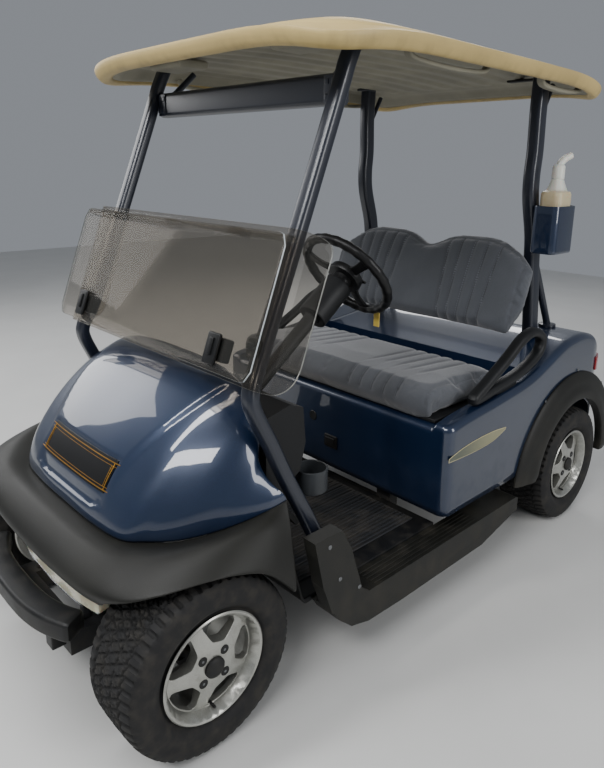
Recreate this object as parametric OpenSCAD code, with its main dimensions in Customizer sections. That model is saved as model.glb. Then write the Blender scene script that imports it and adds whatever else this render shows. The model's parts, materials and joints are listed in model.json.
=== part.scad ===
/* [Overall] */
// Distance between the front and rear axles
wheelbase = 1664; // [1500:1:1800]
// Width across the rear fender flares
body_w = 1200; // [1100:1:1300]
// Height of the canopy's crown above the ground
canopy_top = 1746; // [1650:1:1900]
// Front overhang, from the front axle to the bumper's face
front_overhang = 290; // [280:1:320]
// Rear overhang, from the rear axle to the rear bumper's face
rear_overhang = 370; // [350:1:420]

/* [Wheels] */
// Outer radius of a tyre
tyre_r = 229.5; // [215:0.5:235]
// Width of a tyre
tyre_w = 205; // [180:1:210]
// Radius of the rim's outer lip
rim_r = 140; // [130:1:142]
// Distance between the front wheels' middle planes
front_track = 876; // [860:1:900]
// Distance between the rear wheels' middle planes
rear_track = 978; // [960:1:1000]
// Number of openings in a rim
rim_windows = 5; // [4:1:7]
// Radius of a wheel spindle
spindle_r = 15; // [12:0.5:18]

/* [Steering] */
// Largest steering angle of a front wheel
steer_max = 25; // [20:1:28]
// Distance between the two kingpins
kingpin_track = 770; // [750:1:780]
// Radius of a kingpin
kingpin_r = 12; // [10:0.5:14]
// Length of a steering arm, from the kingpin to the tie rod's eye
steer_arm = 70; // [60:1:75]
// Outer radius of the steering wheel
wheel_r = 165; // [155:1:180]
// Thickness of the steering wheel's rim
wheel_tube = 32; // [24:1:36]
// Angle of the steering column above the horizontal
column_tilt = 38; // [36:1:44]

/* [Floor and body] */
// Height of the floor's top above the ground
floor_z = 246; // [230:1:270]
// Thickness of the body panels
panel_t = 6; // [4:0.5:8]
// Height of the rocker panels' lower edge
sill_z = 135; // [120:1:150]
// Radius of the rear wheel openings
arch_r = 270; // [260:1:280]
// Height of the seat pod's front edge
pod_z = 598; // [580:1:620]

/* [Seat] */
// Width of the seat cushion
seat_w = 985; // [900:1:990]
// Depth of the seat cushion
seat_d = 450; // [420:1:470]
// Thickness of the seat cushion
seat_t = 84; // [70:1:95]

/* [Canopy and pillars] */
// Length of the canopy
canopy_len = 1510; // [1450:1:1560]
// Width of the canopy at its front
canopy_w = 1180; // [1100:1:1190]
// Height of the canopy's edge band
canopy_lip = 40; // [30:1:80]
// Width of a front pillar
pillar_w = 44; // [36:1:50]
// Thickness of the windshield panes
pane_t = 5; // [4:0.5:6]

/* [Fastening] */
// Spacing of the rear bumper's hitch bolts across the cart
hitch_x = 120; // [100:1:140]
// Spacing of the rear bumper's hitch bolts up the cart
hitch_z = 60; // [50:1:70]
// Radius of the hitch bolt holes
hitch_hole_r = 5.5; // [4.5:0.5:6.5]
// Radius of the towing hole in the front frame bracket
tow_r = 10; // [8:0.5:12]

/* [Hidden] */
$fn = 48;

// clearances
run_gap = 0.05;
seat_gap = 0.3;
eps = 1;

// axle places: the cart is centred between its bumpers, front towards -Y
cart_len = front_overhang + wheelbase + rear_overhang;
front_y = -cart_len / 2 + front_overhang;
rear_y = front_y + wheelbase;
nose_y = front_y - front_overhang;
tail_y = rear_y + rear_overhang;
axle_z = tyre_r;
kingpin_x = kingpin_track / 2;
front_x = front_track / 2;
rear_x = rear_track / 2;
half_w = body_w / 2;
pod_y = rear_y - 792;
cowl_y = front_y + 872;

// ---------- curves and surfaces ----------

// a point of a smooth curve through a list of points, t from 0 to 1
function cat(a, b, c, d, t) =
  0.5 * (2 * b + (c - a) * t + (2 * a - 5 * b + 4 * c - d) * t * t + (3 * b - a - 3 * c + d) * t * t * t);
function curve_at(p, t) =
  let (n = len(p) - 1, s = min(max(t, 0), 1) * n, i = min(floor(s), n - 1))
  cat(p[max(i - 1, 0)], p[i], p[i + 1], p[min(i + 2, n)], s - i);
function mirror_x(p) = [-p[0], p[1], p[2]];
// the left half of a curve, listed from the middle outwards, made whole from right to left
function both_sides(p) = concat([for (k = [len(p) - 1:-1:1]) mirror_x(p[k])], p);
function smooth01(t) = t * t * (3 - 2 * t);

// the outward direction of a grid of points, whose columns run right and rows up as seen from outside
function grid_normal(g, i, j) =
  let (du = g[i][min(j + 1, len(g[0]) - 1)] - g[i][max(j - 1, 0)],
    dv = g[min(i + 1, len(g) - 1)][j] - g[max(i - 1, 0)][j], n = cross(du, dv)) n / norm(n);
function inset(g, d) =
  [for (i = [0:len(g) - 1]) [for (j = [0:len(g[0]) - 1]) g[i][j] - d * grid_normal(g, i, j)]];

// a closed solid between two grids of points of the same size, the first one outside
module skin(outer, inner) {
  rows = len(outer);
  cols = len(outer[0]);
  n = rows * cols;
  pts = concat([for (r = outer) each r], [for (r = inner) each r]);
  out_faces = [for (i = [0:rows - 2]) for (j = [0:cols - 2])
    each quad(i * cols + j, (i + 1) * cols + j, (i + 1) * cols + j + 1, i * cols + j + 1)];
  in_faces = [for (i = [0:rows - 2]) for (j = [0:cols - 2])
    each quad(n + i * cols + j, n + i * cols + j + 1, n + (i + 1) * cols + j + 1, n + (i + 1) * cols + j)];
  rim = concat([for (j = [0:cols - 1]) j], [for (i = [1:rows - 1]) i * cols + cols - 1],
    [for (j = [cols - 2:-1:0]) (rows - 1) * cols + j], [for (i = [rows - 2:-1:1]) i * cols]);
  edge_faces = [for (k = [0:len(rim) - 1])
    let (a = rim[k], b = rim[(k + 1) % len(rim)]) each quad(a, b, n + b, n + a)];
  polyhedron(points = pts, faces = concat(out_faces, in_faces, edge_faces), convexity = 8);
}
function quad(a, b, c, d) = [[a, b, c], [a, c, d]];

// a closed solid through a list of rings with the same number of points
module loft(rings) {
  n = len(rings[0]);
  m = len(rings);
  sides = [for (i = [0:m - 2]) for (j = [0:n - 1])
    each quad(i * n + j, (i + 1) * n + j, (i + 1) * n + (j + 1) % n, i * n + (j + 1) % n)];
  polyhedron(points = [for (r = rings) each r], convexity = 8,
    faces = concat(sides, [[for (j = [0:n - 1]) j]], [[for (j = [n - 1:-1:0]) (m - 1) * n + j]]));
}

// a bar of oval section along a path that never runs along X: a is its half width, b its half depth
module bar_along(p, a, b, sides = 12) {
  n = len(p) - 1;
  loft([for (k = [0:n])
    let (t = p[min(k + 1, n)] - p[max(k - 1, 0)], u = cross(t, [1, 0, 0]), v = u / norm(u))
    [for (j = [0:sides - 1])
      let (c = cos(360 * j / sides), s = sin(360 * j / sides))
      p[k] + [a * sign(c) * sqrt(abs(c)), 0, 0] + v * b * sign(s) * sqrt(abs(s))]]);
}

// a round bar between two points
module rod(p, q, r) {
  d = q - p;
  translate(p) rotate([0, acos(d[2] / norm(d)), atan2(d[1], d[0])]) cylinder(r = r, h = norm(d));
}

// a box given by its two corners
module block(lo, hi) {
  translate(lo) cube(hi - lo);
}

// a prism along X of a Y-Z outline
module prism_x(outline, x0, x1) {
  translate([x0, 0, 0]) rotate([90, 0, 90]) linear_extrude(height = x1 - x0) polygon(outline);
}

module each_side() {
  children();
  mirror([1, 0, 0]) children();
}

// ---------- running gear ----------

rail_x = 130;
rail_w = 60;
rail_h = 60;
floor_t = 20;
rail_z = floor_z - floor_t - seat_gap - rail_h;
rear_rail_x = 250;
rear_rail_z = 292;
rail_step_y = pod_y + 12;

module chassis_frame() color("#2a2b2d") {
  difference() {
    union() {
      each_side() {
        block([rail_x, nose_y + 130, rail_z], [rail_x + rail_w, rail_step_y + 40, rail_z + rail_h]);
        block([rear_rail_x, rail_step_y, rear_rail_z], [rear_rail_x + rail_w, tail_y - 70, rear_rail_z + rail_h]);
        block([rear_rail_x, rail_step_y, rail_z], [rear_rail_x + rail_w, rail_step_y + 40, rear_rail_z + eps]);
      }
      block([-rear_rail_x - rail_w, rail_step_y, rail_z], [rear_rail_x + rail_w, rail_step_y + 40, rail_z + rail_h]);
      block([-440, cowl_y - 440, rail_z], [440, cowl_y - 400, rail_z + rail_h]);
      block([-440, pod_y - 100, rail_z], [440, pod_y - 60, rail_z + rail_h]);
      block([-rail_x - rail_w, nose_y + 90, rail_z], [rail_x + rail_w, nose_y + 130, rail_z + rail_h]);
      for (y = [pod_y + 20, pod_y + 530, tail_y - 110])
        block([-rear_rail_x - eps, y, rear_rail_z], [rear_rail_x + eps, y + 40, rear_rail_z + 10]);
      block([-30, nose_y + 60, rail_z], [30, nose_y + 90 + eps, rail_z + rail_h]);
    }
    translate([0, nose_y + 76, rail_z - eps]) cylinder(r = tow_r, h = rail_h + 2 * eps);
  }
}

barrel_r = 22;
arm_end = 5.6;
ear_t = 14;
ear_z = axle_z - 45;
ear_top = axle_z + 45;
tower = [215, front_y, 470];
shock_low = [kingpin_x - 70, front_y, ear_top + ear_t - 6];

module front_suspension() color("#3a3b3d") {
  each_side() {
    difference() {
      union() {
        block([kingpin_x - 42, front_y - 24, ear_z - ear_t], [kingpin_x + 22, front_y + 24, ear_z]);
        block([kingpin_x - 42, front_y - 24, ear_top], [kingpin_x + 22, front_y + 24, ear_top + ear_t]);
        block([kingpin_x - 42, front_y - 24, ear_z - eps], [kingpin_x - 28, front_y + 24, ear_top + eps]);
      }
      translate([kingpin_x, front_y, ear_z - ear_t - eps])
        cylinder(r = kingpin_r + run_gap, h = ear_top - ear_z + 2 * ear_t + 2 * eps);
    }
    for (y = [-90, 90])
      rod([rail_x + rail_w + arm_end, front_y + y, rail_z + 28], [kingpin_x - 34, front_y + sign(y) * 12, ear_z - 4], 12);
    rod(shock_low, tower, 14);
    rod(shock_low * 0.7 + tower * 0.3, shock_low * 0.1 + tower * 0.9, 24);
    block([kingpin_x - 92, front_y - 24, ear_top], [kingpin_x - 41, front_y + 24, ear_top + ear_t]);
    block([rail_x, front_y - 30, rail_z + rail_h + seat_gap], [rail_x + 30, front_y + 30, tower[2] + 20]);
    block([rail_x + 29, front_y - 30, tower[2] - 10], [tower[0] + 30, front_y + 30, tower[2] + 20]);
  }
  rack_housing();
}

rack_y = front_y + steer_arm;
rack_z = axle_z + 26;
rack_r = 14;
housing_l = 200;

module rack_housing() {
  difference() {
    union() {
      translate([-housing_l, rack_y, rack_z]) rotate([0, 90, 0]) cylinder(r = 22, h = 2 * housing_l);
      each_side()
        block([rail_x + 10, rack_y - 20, rail_z + rail_h + seat_gap], [rail_x + 50, rack_y + 20, rack_z]);
    }
    translate([-housing_l - eps, rack_y, rack_z]) rotate([0, 90, 0])
      cylinder(r = rack_r + run_gap, h = 2 * housing_l + 2 * eps);
  }
}

module steering_rack() color("#8d9094") {
  translate([-housing_l - 60, rack_y, rack_z]) rotate([0, 90, 0]) cylinder(r = rack_r, h = 2 * housing_l + 120);
  each_side() {
    translate([housing_l + 59, rack_y, rack_z]) rotate([0, 90, 0])
      cylinder(r = 8, h = kingpin_x - housing_l - 59);
    translate([kingpin_x, rack_y, rack_z - 9]) cylinder(r = 14, h = 18);
  }
}

module knuckle() color("#55585c") {
  arm_top = rack_z - 9 - seat_gap;
  translate([kingpin_x, front_y, ear_z + seat_gap]) cylinder(r = barrel_r, h = ear_top - ear_z - 2 * seat_gap);
  translate([kingpin_x, front_y, axle_z]) rotate([0, 90, 0]) cylinder(r = spindle_r + 9, h = 40);
  translate([kingpin_x, front_y, axle_z]) rotate([0, 90, 0])
    cylinder(r = spindle_r, h = front_x - kingpin_x + 70);
  block([kingpin_x - 14, front_y, arm_top - 14], [kingpin_x + 14, rack_y, arm_top]);
  translate([kingpin_x, rack_y, arm_top - 14]) cylinder(r = 14, h = 14);
  translate([kingpin_x, front_y, ear_z - ear_t - 6]) cylinder(r = kingpin_r, h = ear_top - ear_z + 2 * ear_t + 12);
}
module knuckle_left() knuckle();
module knuckle_right() mirror([1, 0, 0]) knuckle();

module rear_axle() color("#3c3e41") {
  spring_x = rear_rail_x + rail_w / 2;
  translate([-rear_x + 60, rear_y, axle_z]) rotate([0, 90, 0]) cylinder(r = 32, h = 2 * rear_x - 120);
  translate([-rear_x - 70, rear_y, axle_z]) rotate([0, 90, 0]) cylinder(r = spindle_r, h = 2 * rear_x + 140);
  translate([-70, rear_y, axle_z]) rotate([0, 90, 0]) cylinder(r = 108, h = 140);
  translate([-200, rear_y - 150, axle_z + 20]) rotate([0, 90, 0]) cylinder(r = 82, h = 290);
  each_side() {
    translate([rear_x - 105, rear_y, axle_z]) rotate([0, 90, 0]) cylinder(r = 88, h = 60);
    difference() {
      prism_x(leaf_outline(0), spring_x - 25, spring_x + 25);
      prism_x(leaf_outline(-18), spring_x - 26, spring_x + 26);
    }
    block([spring_x - 30, rear_y - 40, axle_z + 25], [spring_x + 30, rear_y + 40, axle_z + 52]);
    for (y = [rear_y - 262, rear_y + 262])
      block([spring_x - 25, y - 18, rear_rail_z - 30], [spring_x + 25, y + 18, rear_rail_z]);
    rod([rear_rail_x - 40, rear_y + 40, axle_z + 20], [rear_rail_x - 40, rear_y + 150, rear_rail_z + 6], 22);
    block([rear_rail_x - 70, rear_y + 130, rear_rail_z], [rear_rail_x, rear_y + 180, rear_rail_z + 12]);
  }
}
// a leaf spring's bow: an arc that sags under the rail, closed along its chord
function leaf_outline(drop) =
  let (half = 270, sag = 30, n = 12)
  concat([for (k = [0:n]) let (t = -1 + 2 * k / n)
    [rear_y + half * t, rear_rail_z - 12 - sag * (1 - t * t) + (drop == 0 ? 0 : -drop)]],
    drop == 0 ? [[rear_y + half, rear_rail_z - 1], [rear_y - half, rear_rail_z - 1]]
      : [[rear_y + half, rear_rail_z + 40], [rear_y - half, rear_rail_z + 40]]);

module battery_pack() color("#26282b") {
  block([-400, pod_y + 30, rear_rail_z + rail_h + seat_gap], [400, pod_y + 405, seat_z - 41]);
}

// ---------- wheels ----------

bead_r = rim_r - 13;
window_turn = 20;
window_r = 115;
window_side = [[97, 47], [90, 44], [66, 22], [62, 17], [61, 10]];

module tyre(x, y) color("#1b1b1c") {
  h = tyre_w / 2;
  r = tyre_r;
  outline = [[bead_r + seat_gap, -h * 0.78], [bead_r + 14, -h * 0.8], [r - 62, -h], [r - 34, -h * 0.98],
    [r - 9, -h * 0.82], [r, -h * 0.6], [r, h * 0.6], [r - 9, h * 0.82], [r - 34, h * 0.98], [r - 62, h],
    [bead_r + 14, h * 0.8], [bead_r + seat_gap, h * 0.78], [bead_r + seat_gap, h * 0.66], [r - 60, h * 0.84],
    [r - 22, h * 0.7], [r - 22, -h * 0.7], [r - 60, -h * 0.84], [bead_r + seat_gap, -h * 0.66]];
  translate([x, y, axle_z]) rotate([0, 90, 0]) rotate_extrude($fn = 72) polygon(outline);
}
module tyre_front_left() tyre(front_x, front_y);
module tyre_front_right() tyre(-front_x, front_y);
module tyre_rear_left() tyre(rear_x, rear_y);
module tyre_rear_right() tyre(-rear_x, rear_y);

barrel = 9;
// the disc's hub face and its edge, which lies deeper in the barrel
face = 92;
dish = 20;
module rim() {
  h = tyre_w * 0.42;
  rotate([0, 90, 0]) difference() {
    union() {
      rotate_extrude($fn = 72) polygon([[bead_r - barrel, -h - 9], [rim_r - 4, -h - 9], [rim_r, -h - 6],
        [rim_r - 4, -h - 3], [bead_r, -h + 3], [bead_r, h - 3], [rim_r - 4, h + 3], [rim_r, h + 6],
        [rim_r - 4, h + 9], [rim_r - 9, h + 7], [bead_r - barrel, h - dish + 6]]);
      rotate_extrude($fn = 72) polygon([[0, 44], [38, 44], [42, face - 38], [bead_r - barrel + 2, h - dish - 16],
        [bead_r - barrel + 2, h - dish], [60, face - 8], [38, face - 6], [0, face - 6]]);
      translate([0, 0, face - 16]) cylinder(r = 25, h = 16);
    }
    for (k = [0:rim_windows - 1]) rotate(k * 360 / rim_windows + window_turn) window_cut();
    translate([0, 0, 40]) cylinder(r = spindle_r + run_gap, h = 36);
  }
}
// a rim opening: narrow towards the hub, wide and round near the lip
module window_cut() {
  translate([0, 0, 20]) linear_extrude(height = 100)
    polygon(concat([for (a = [-22:4:22]) window_r * [cos(a), sin(a)]],
      [for (p = window_side) p], [for (k = [len(window_side) - 1:-1:0]) [window_side[k][0], -window_side[k][1]]]));
}
module rim_front_left() color("#b9b9b6") translate([front_x, front_y, axle_z]) rim();
module rim_front_right() color("#b9b9b6") translate([-front_x, front_y, axle_z]) mirror([1, 0, 0]) rim();
module rim_rear_left() color("#b9b9b6") translate([rear_x, rear_y, axle_z]) rim();
module rim_rear_right() color("#b9b9b6") translate([-rear_x, rear_y, axle_z]) mirror([1, 0, 0]) rim();

// ---------- floor ----------

floor_half = 500;
ramp_top = [cowl_y - 642, 500];

module floor_pan() color("#2c2e31") {
  t = floor_t;
  prism_x([[cowl_y - 560, floor_z - t], [pod_y + 10, floor_z - t], [pod_y + 10, floor_z], [cowl_y - 565, floor_z],
    [ramp_top[0] + 6, ramp_top[1]], [ramp_top[0], ramp_top[1]], [cowl_y - 574, floor_z]], -floor_half, floor_half);
}

module floor_mat() color("#1d1e20") {
  block([-440, cowl_y - 530, floor_z], [440, pod_y - 26, floor_z + 5]);
}

// a rocker panel, and the boot that stands on it and covers the foot of the front pillar
sill_x0 = floor_half + seat_gap;
sill_x1 = 588;
boot_t = 44;
module sill() {
  top = floor_z - 8;
  prism_x([[cowl_y - 540, top], [cowl_y - 520, 205], [cowl_y - 470, 160], [cowl_y - 400, sill_z + 5],
    [cowl_y - 260, sill_z], [pod_y + 170, sill_z], [pod_y + 390, 185], [pod_y + 390, 232], [pod_y + 375, top]],
    sill_x0, sill_x1);
  prism_x([[cowl_y - 612, 470], [cowl_y - 580, 330], [cowl_y - 545, top - eps], [cowl_y - 400, top - eps],
    [cowl_y - 432, 262], [cowl_y - 478, 400], [cowl_y - 515, 470]], sill_x1 - boot_t, sill_x1);
}
module sills() color("#3a3b3e") each_side() difference() {
  sill();
  block([sill_x0 - eps, cowl_y - 380, sill_z - 20], [sill_x1 - 6, pod_y + 400, floor_z - 14]);
}

// ---------- front body ----------

// the seam between cowl and skirt, from the middle of the nose to the foot of the left pillar
seam_half = [[0, -985, 490], [150, -983, 490], [278, -967, 490], [335, -922, 491], [388, -868, 497], [434, -800, 512],
  [470, -735, 532], [492, -675, 550], [500, -628, 562]];
// the cowl's upper rear edge, from the middle outwards
rear_edge_half = [[0, -606, 846], [110, -607, 845], [215, -610, 838], [290, -614, 822], [345, -618, 796],
  [385, -624, 760], [410, -636, 714], [430, -662, 668], [458, -664, 628],
  [486, -648, 594]];
// the skirt's fullest line and its lower lip, from the middle outwards
belly_half = [[0, -1100, 425], [150, -1098, 428], [330, -1088, 440], [440, -1048, 452], [505, -985, 472],
  [545, -900, 484], [562, -820, 476], [572, -740, 448], [580, -665, 380]];
lip_half = [[0, -1050, 362], [150, -1050, 362], [300, -1046, 366], [372, -1052, 412], [460, -1008, 452],
  [528, -900, 480], [546, -815, 468], [556, -738, 430], [566, -662, 350]];

front_shift = [0, cowl_y, 0];
cowl_cols = 24;
cowl_rows = 12;
bulge = 68;

function cowl_point(s, t) =
  let (a = curve_at(both_sides(seam_half), s), b = curve_at(both_sides(rear_edge_half), s),
    out = [a[0] * 0.9, (a[1] + 640), 330], n = out / norm(out),
    lift = bulge * pow(4 * t * (1 - t), 0.75) * (norm(a - b) / 480))
  a + (b - a) * t + n * lift + front_shift;
function cowl_grid(rows, cols) =
  [for (i = [0:rows]) [for (j = [0:cols]) cowl_point(j / cols, i / rows)]];

module front_cowl() color("#1c2c46") {
  g = cowl_grid(cowl_rows, cowl_cols);
  skin(g, inset(g, panel_t));
}

function skirt_point(s, t) =
  let (a = curve_at(both_sides(lip_half), s), b = curve_at(both_sides(belly_half), s),
    c = curve_at(both_sides(seam_half), s), rise = [0, 0, 26], crown = (b + c) / 2 + rise)
  curve_at([a, b, crown, c - [0, 0, 0.6]], t) + front_shift;
skirt_rows = 9;
module front_skirt() color("#4a4a4a") {
  g = [for (i = [0:skirt_rows]) [for (j = [0:cowl_cols]) skirt_point(j / cowl_cols, i / skirt_rows)]];
  translate([0, 0, -seat_gap]) skin(g, inset(g, panel_t));
}

// a bar whose plan bows forward: half width, front line at the middle and at its ends, and flat back line
function bow_plan(w, y_mid, y_end, y_back) =
  concat([for (k = [-10:10]) let (u = k / 10) [w * u, y_mid + (y_end - y_mid) * pow(abs(u), 3)]],
    [[w, y_back - (y_back > y_end + 30 ? 12 : 0)], [w - 12, y_back], [-w + 12, y_back],
    [-w, y_back - (y_back > y_end + 30 ? 12 : 0)]]);

bumper_z = 268;
lens_y = cowl_y - 1042;
module front_bumper() color("#232426") {
  back = nose_y + 98;
  translate([0, 0, bumper_z]) linear_extrude(height = 54) polygon(bow_plan(268, nose_y, nose_y + 60, back));
  each_side() block([rail_x, nose_y + 50, rail_z + 20], [rail_x + 40, nose_y + 90 - seat_gap, bumper_z + eps]);
}

lens_low = 286;
lens_top = 364.6;
module headlight_bar() color("#d8d6c8") {
  translate([0, 0, lens_low]) linear_extrude(height = lens_top - lens_low)
    polygon(bow_plan(250, lens_y - 4, lens_y + 24, lens_y + 42));
  each_side() block([rail_x + 10, lens_y + 41, 321], [rail_x + 30, nose_y + 160, 331]);
  each_side() block([rail_x + 10, nose_y + 140, rail_z + rail_h + seat_gap], [rail_x + 30, nose_y + 160, 331]);
}

module dashboard() color("#2b2d30") {
  y0 = cowl_y - 612;
  difference() {
    prism_x([[ramp_top[0] + 14.7, 470], [ramp_top[0] + 6 + seat_gap, ramp_top[1]], [y0, 560], [y0, 740],
      [y0 + 85, 760], [y0 + 130, 742], [y0 + 140, 640], [y0 + 120, 560], [y0 + 60, 520]], -400, 400);
    block([-330, y0 + 20, 600], [-90, y0 + 200, 730]);
    translate([60, 0, 0]) block([-120, y0 + 60, 640], [-20, y0 + 200, 735]);
    rod(column_at(-120), column_at(column_end - 8), column_r + seat_gap);
  }
}

// ---------- steering column ----------

wheel_c = [220, cowl_y - 140, 1040];
column_r = 22;
column_end = -565;
shroud_r = 46;
shroud_end = -185;
hub_depth = 43;
function column_at(d) = wheel_c + d * [0, cos(column_tilt), sin(column_tilt)];

module steering_column() color("#222326") {
  rod(column_at(-hub_depth - seat_gap), column_at(shroud_end), shroud_r);
  rod(column_at(shroud_end + 1), column_at(column_end), column_r);
}

spoke_half = 20;
pad_r = 58;
module steering_wheel() color("#161617") {
  tube = wheel_tube / 2;
  translate(wheel_c) rotate([column_tilt - 90, 0, 0]) {
    rotate_extrude($fn = 72) translate([wheel_r - tube, 0]) circle(r = tube, $fn = 24);
    translate([0, 0, -hub_depth]) cylinder(r = 34, h = hub_depth + 2);
    translate([0, 0, -20]) cylinder(r = pad_r, h = 30);
    for (a = [90, 210, 330]) rotate(a)
      block([pad_r - 18, -spoke_half, -8], [wheel_r - wheel_tube + 6, spoke_half, 6]);
  }
}

module pedals() color("#2a2b2d") {
  for (x = [150, 300]) {
    rod([x, cowl_y - 571, floor_z + 40], [x, cowl_y - 480, floor_z + 150], 8);
    translate([x, cowl_y - 480, floor_z + 150]) rotate([40, 0, 0]) block([-45, -8, -50], [45, 8, 50]);
  }
}

// ---------- rear body ----------

body_half = 560;
seat_z = pod_z - 12;
deck_y = pod_y + 505;

// the rear body's side outline, shrunk all round by a wall
function body_side(w) = [[pod_y - 4 + w, 296 - (w > 0 ? eps : 0)], [pod_y - 22 + w, pod_z - w],
  [pod_y + 110, pod_z + 17 - w], [pod_y + 286, pod_z + 33 - w], [pod_y + 480, pod_z + 61 - w],
  [pod_y + 688, pod_z + 134 - w], [pod_y + 847, pod_z + 154 - w], [pod_y + 905 - w / 2, pod_z + 146 - w],
  [pod_y + 961 - w, pod_z + 122 - w], [pod_y + 1042 - w, pod_z + 36], [pod_y + 1088 - w, pod_z - 33],
  [pod_y + 1124 - w, pod_z - 123], [pod_y + 1130 - w, pod_z - 200], [pod_y + 1112 - w, 330 - (w > 0 ? 40 : 0)],
  [pod_y + 960, 330 - (w > 0 ? 40 : 0)], [pod_y + 700, 296 - (w > 0 ? eps : 0)]];
// the height of the rear body's upper edge, a distance behind the pod's front
function body_top(y) = lookup(y, [[-22, pod_z], [110, pod_z + 17], [286, pod_z + 33], [480, pod_z + 61],
  [688, pod_z + 134], [847, pod_z + 154], [905, pod_z + 146]]);
// its plan, with round corners, shrunk all round by a wall
function corner(cx, cy, r, a0, a1) = [for (k = [0:6]) let (a = a0 + (a1 - a0) * k / 6) [cx + r * cos(a), cy + r * sin(a)]];
function body_plan(w) =
  let (x = body_half - w, y0 = pod_y - 24 + w, y1 = pod_y + 1131 - w, r0 = 34, r1 = 190)
  concat(corner(x - r0, y0 + r0, r0, -90, 0), corner(x - r1, y1 - r1, r1, 0, 90),
    corner(-x + r1, y1 - r1, r1, 90, 180), corner(-x + r0, y0 + r0, r0, 180, 270));
module body_block(w) {
  intersection() {
    prism_x(body_side(w), -body_half, body_half);
    linear_extrude(height = 900) polygon(body_plan(w));
  }
}

well_w = 330;
well_y = pod_y + 800;
well_floor = 470;

// the pocket that the seat sits in, grown by a wall
module pocket(w) {
  block([-seat_w / 2 - 8 - w, pod_y - 60, seat_z - w], [seat_w / 2 + 8 + w, deck_y + w, pod_z + 300]);
}
module rear_body() color("#1c2c46") {
  difference() {
    union() {
      difference() {
        body_block(0);
        body_block(panel_t);
      }
      intersection() {
        body_block(0);
        pocket(panel_t);
      }
    }
    pocket(0);
    block([-470, pod_y + 16, seat_z - 40], [470, deck_y - 95, seat_z + eps]);
    for (x = [-body_half - eps, 350])
      translate([x, rear_y, axle_z]) rotate([0, 90, 0]) cylinder(r = arch_r, h = body_half - 350 + eps);
    block([-well_w, well_y, well_floor], [well_w, pod_y + 1072, pod_z + 300]);
    each_side() block([rear_rail_x - 2, tail_y - 90, 280], [rear_rail_x + rail_w + 2, tail_y, 360]);
  }
}

module bag_well() color("#232427") {
  g = seat_gap;
  t = 4;
  top = pod_z + 100;
  difference() {
    block([-well_w + g, well_y + g, well_floor + g], [well_w - g, pod_y + 1072 - g, top]);
    block([-well_w + g + t, well_y + g + t, well_floor + g + t], [well_w - g - t, pod_y + 1072 - g - t, top + eps]);
    prism_x([[pod_y + 960, top + eps], [pod_y + 1100, top + eps], [pod_y + 1100, pod_z - 30]], -well_w, well_w);
  }
}

// a rear wheel-opening flare: a band round the wheel arch that swells outwards
module fender_flare() {
  x0 = body_half + seat_gap;
  rows = 6;
  cols = 22;
  a0 = 4;
  a1 = 184;
  grid = [for (i = [0:rows]) [for (j = [0:cols])
    let (u = i / rows, a = a1 + (a0 - a1) * j / cols, r = arch_r + 3 + (122 - 18 * sin(a)) * u,
      x = x0 + 6 + (half_w - x0 - 6) * pow(1 - u, 0.6) * (1 - 0.25 * pow(1 - u, 6)))
    [x, rear_y - r * cos(a), axle_z + r * sin(a)]]];
  flat = [for (row = grid) [for (p = row) [x0, p[1], p[2]]]];
  skin(grid, flat);
}
module fender_flares() color("#3f4043") each_side() fender_flare();

module rear_bumper() color("#232426") {
  back = tail_y - 30;
  face = tail_y - 12;
  difference() {
    union() {
      mirror([0, 1, 0]) translate([0, 0, bumper_z]) linear_extrude(height = 84)
        polygon(bow_plan(420, -tail_y, -tail_y + 16, -back));
      each_side() block([rear_rail_x, tail_y - 70 + seat_gap, rear_rail_z], [rear_rail_x + rail_w, back + eps, rear_rail_z + 50]);
    }
    for (x = [-hitch_x / 2, hitch_x / 2]) for (z = [-hitch_z / 2, hitch_z / 2])
      translate([x, back - eps, 310 + z]) rotate([-90, 0, 0]) cylinder(r = hitch_hole_r, h = 40);
    block([-100, face, bumper_z - eps], [100, tail_y + eps, bumper_z + 85]);
  }
}

module tail_lights() color("#a01018") each_side() {
  intersection() {
    difference() {
      grown_body(7);
      grown_body(seat_gap);
    }
    block([430, pod_y + 980, pod_z - 20], [600, pod_y + 1110, pod_z + 34]);
  }
}
// the rear body's outer surface, moved outwards
module grown_body(d) {
  intersection() {
    prism_x([for (p = body_side(0)) [p[0] + (p[0] > pod_y + 950 ? d : 0), p[1] + (p[1] > pod_z - 150 ? d : 0)]],
      -body_half - d, body_half + d);
    linear_extrude(height = 900) polygon(body_plan(-d));
  }
}

// ---------- seat ----------

seat_front = pod_y - 30;

board_t = 13;
// the cushion's front lip, which hides the board's edge: how deep it is, and its height above the shelf
lip_d = 32;
lip_z = 5.5;

module seat_base() color("#1b1c1e") {
  block([-seat_w / 2 + 10, seat_front + lip_d + seat_gap, seat_z + seat_gap], [seat_w / 2 - 10, seat_front + seat_d - 6, seat_z + board_t]);
}

module seat_cushion() color("#6f7682") {
  y0 = seat_front;
  z0 = seat_z + board_t + seat_gap;
  prism_x([[y0 + lip_d, z0], [y0 + lip_d, seat_z + lip_z], [y0 + 14, seat_z + lip_z], [y0, z0 + 12],
    [y0 - 2, z0 + 50], [y0 + 16, z0 + seat_t - 6], [y0 + 60, z0 + seat_t + 8],
    [y0 + 200, z0 + seat_t + 4], [y0 + seat_d - 60, z0 + seat_t - 6], [y0 + seat_d - 8, z0 + seat_t - 16],
    [y0 + seat_d, z0 + 40], [y0 + seat_d - 6, z0]], -seat_w / 2, seat_w / 2);
}

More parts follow.
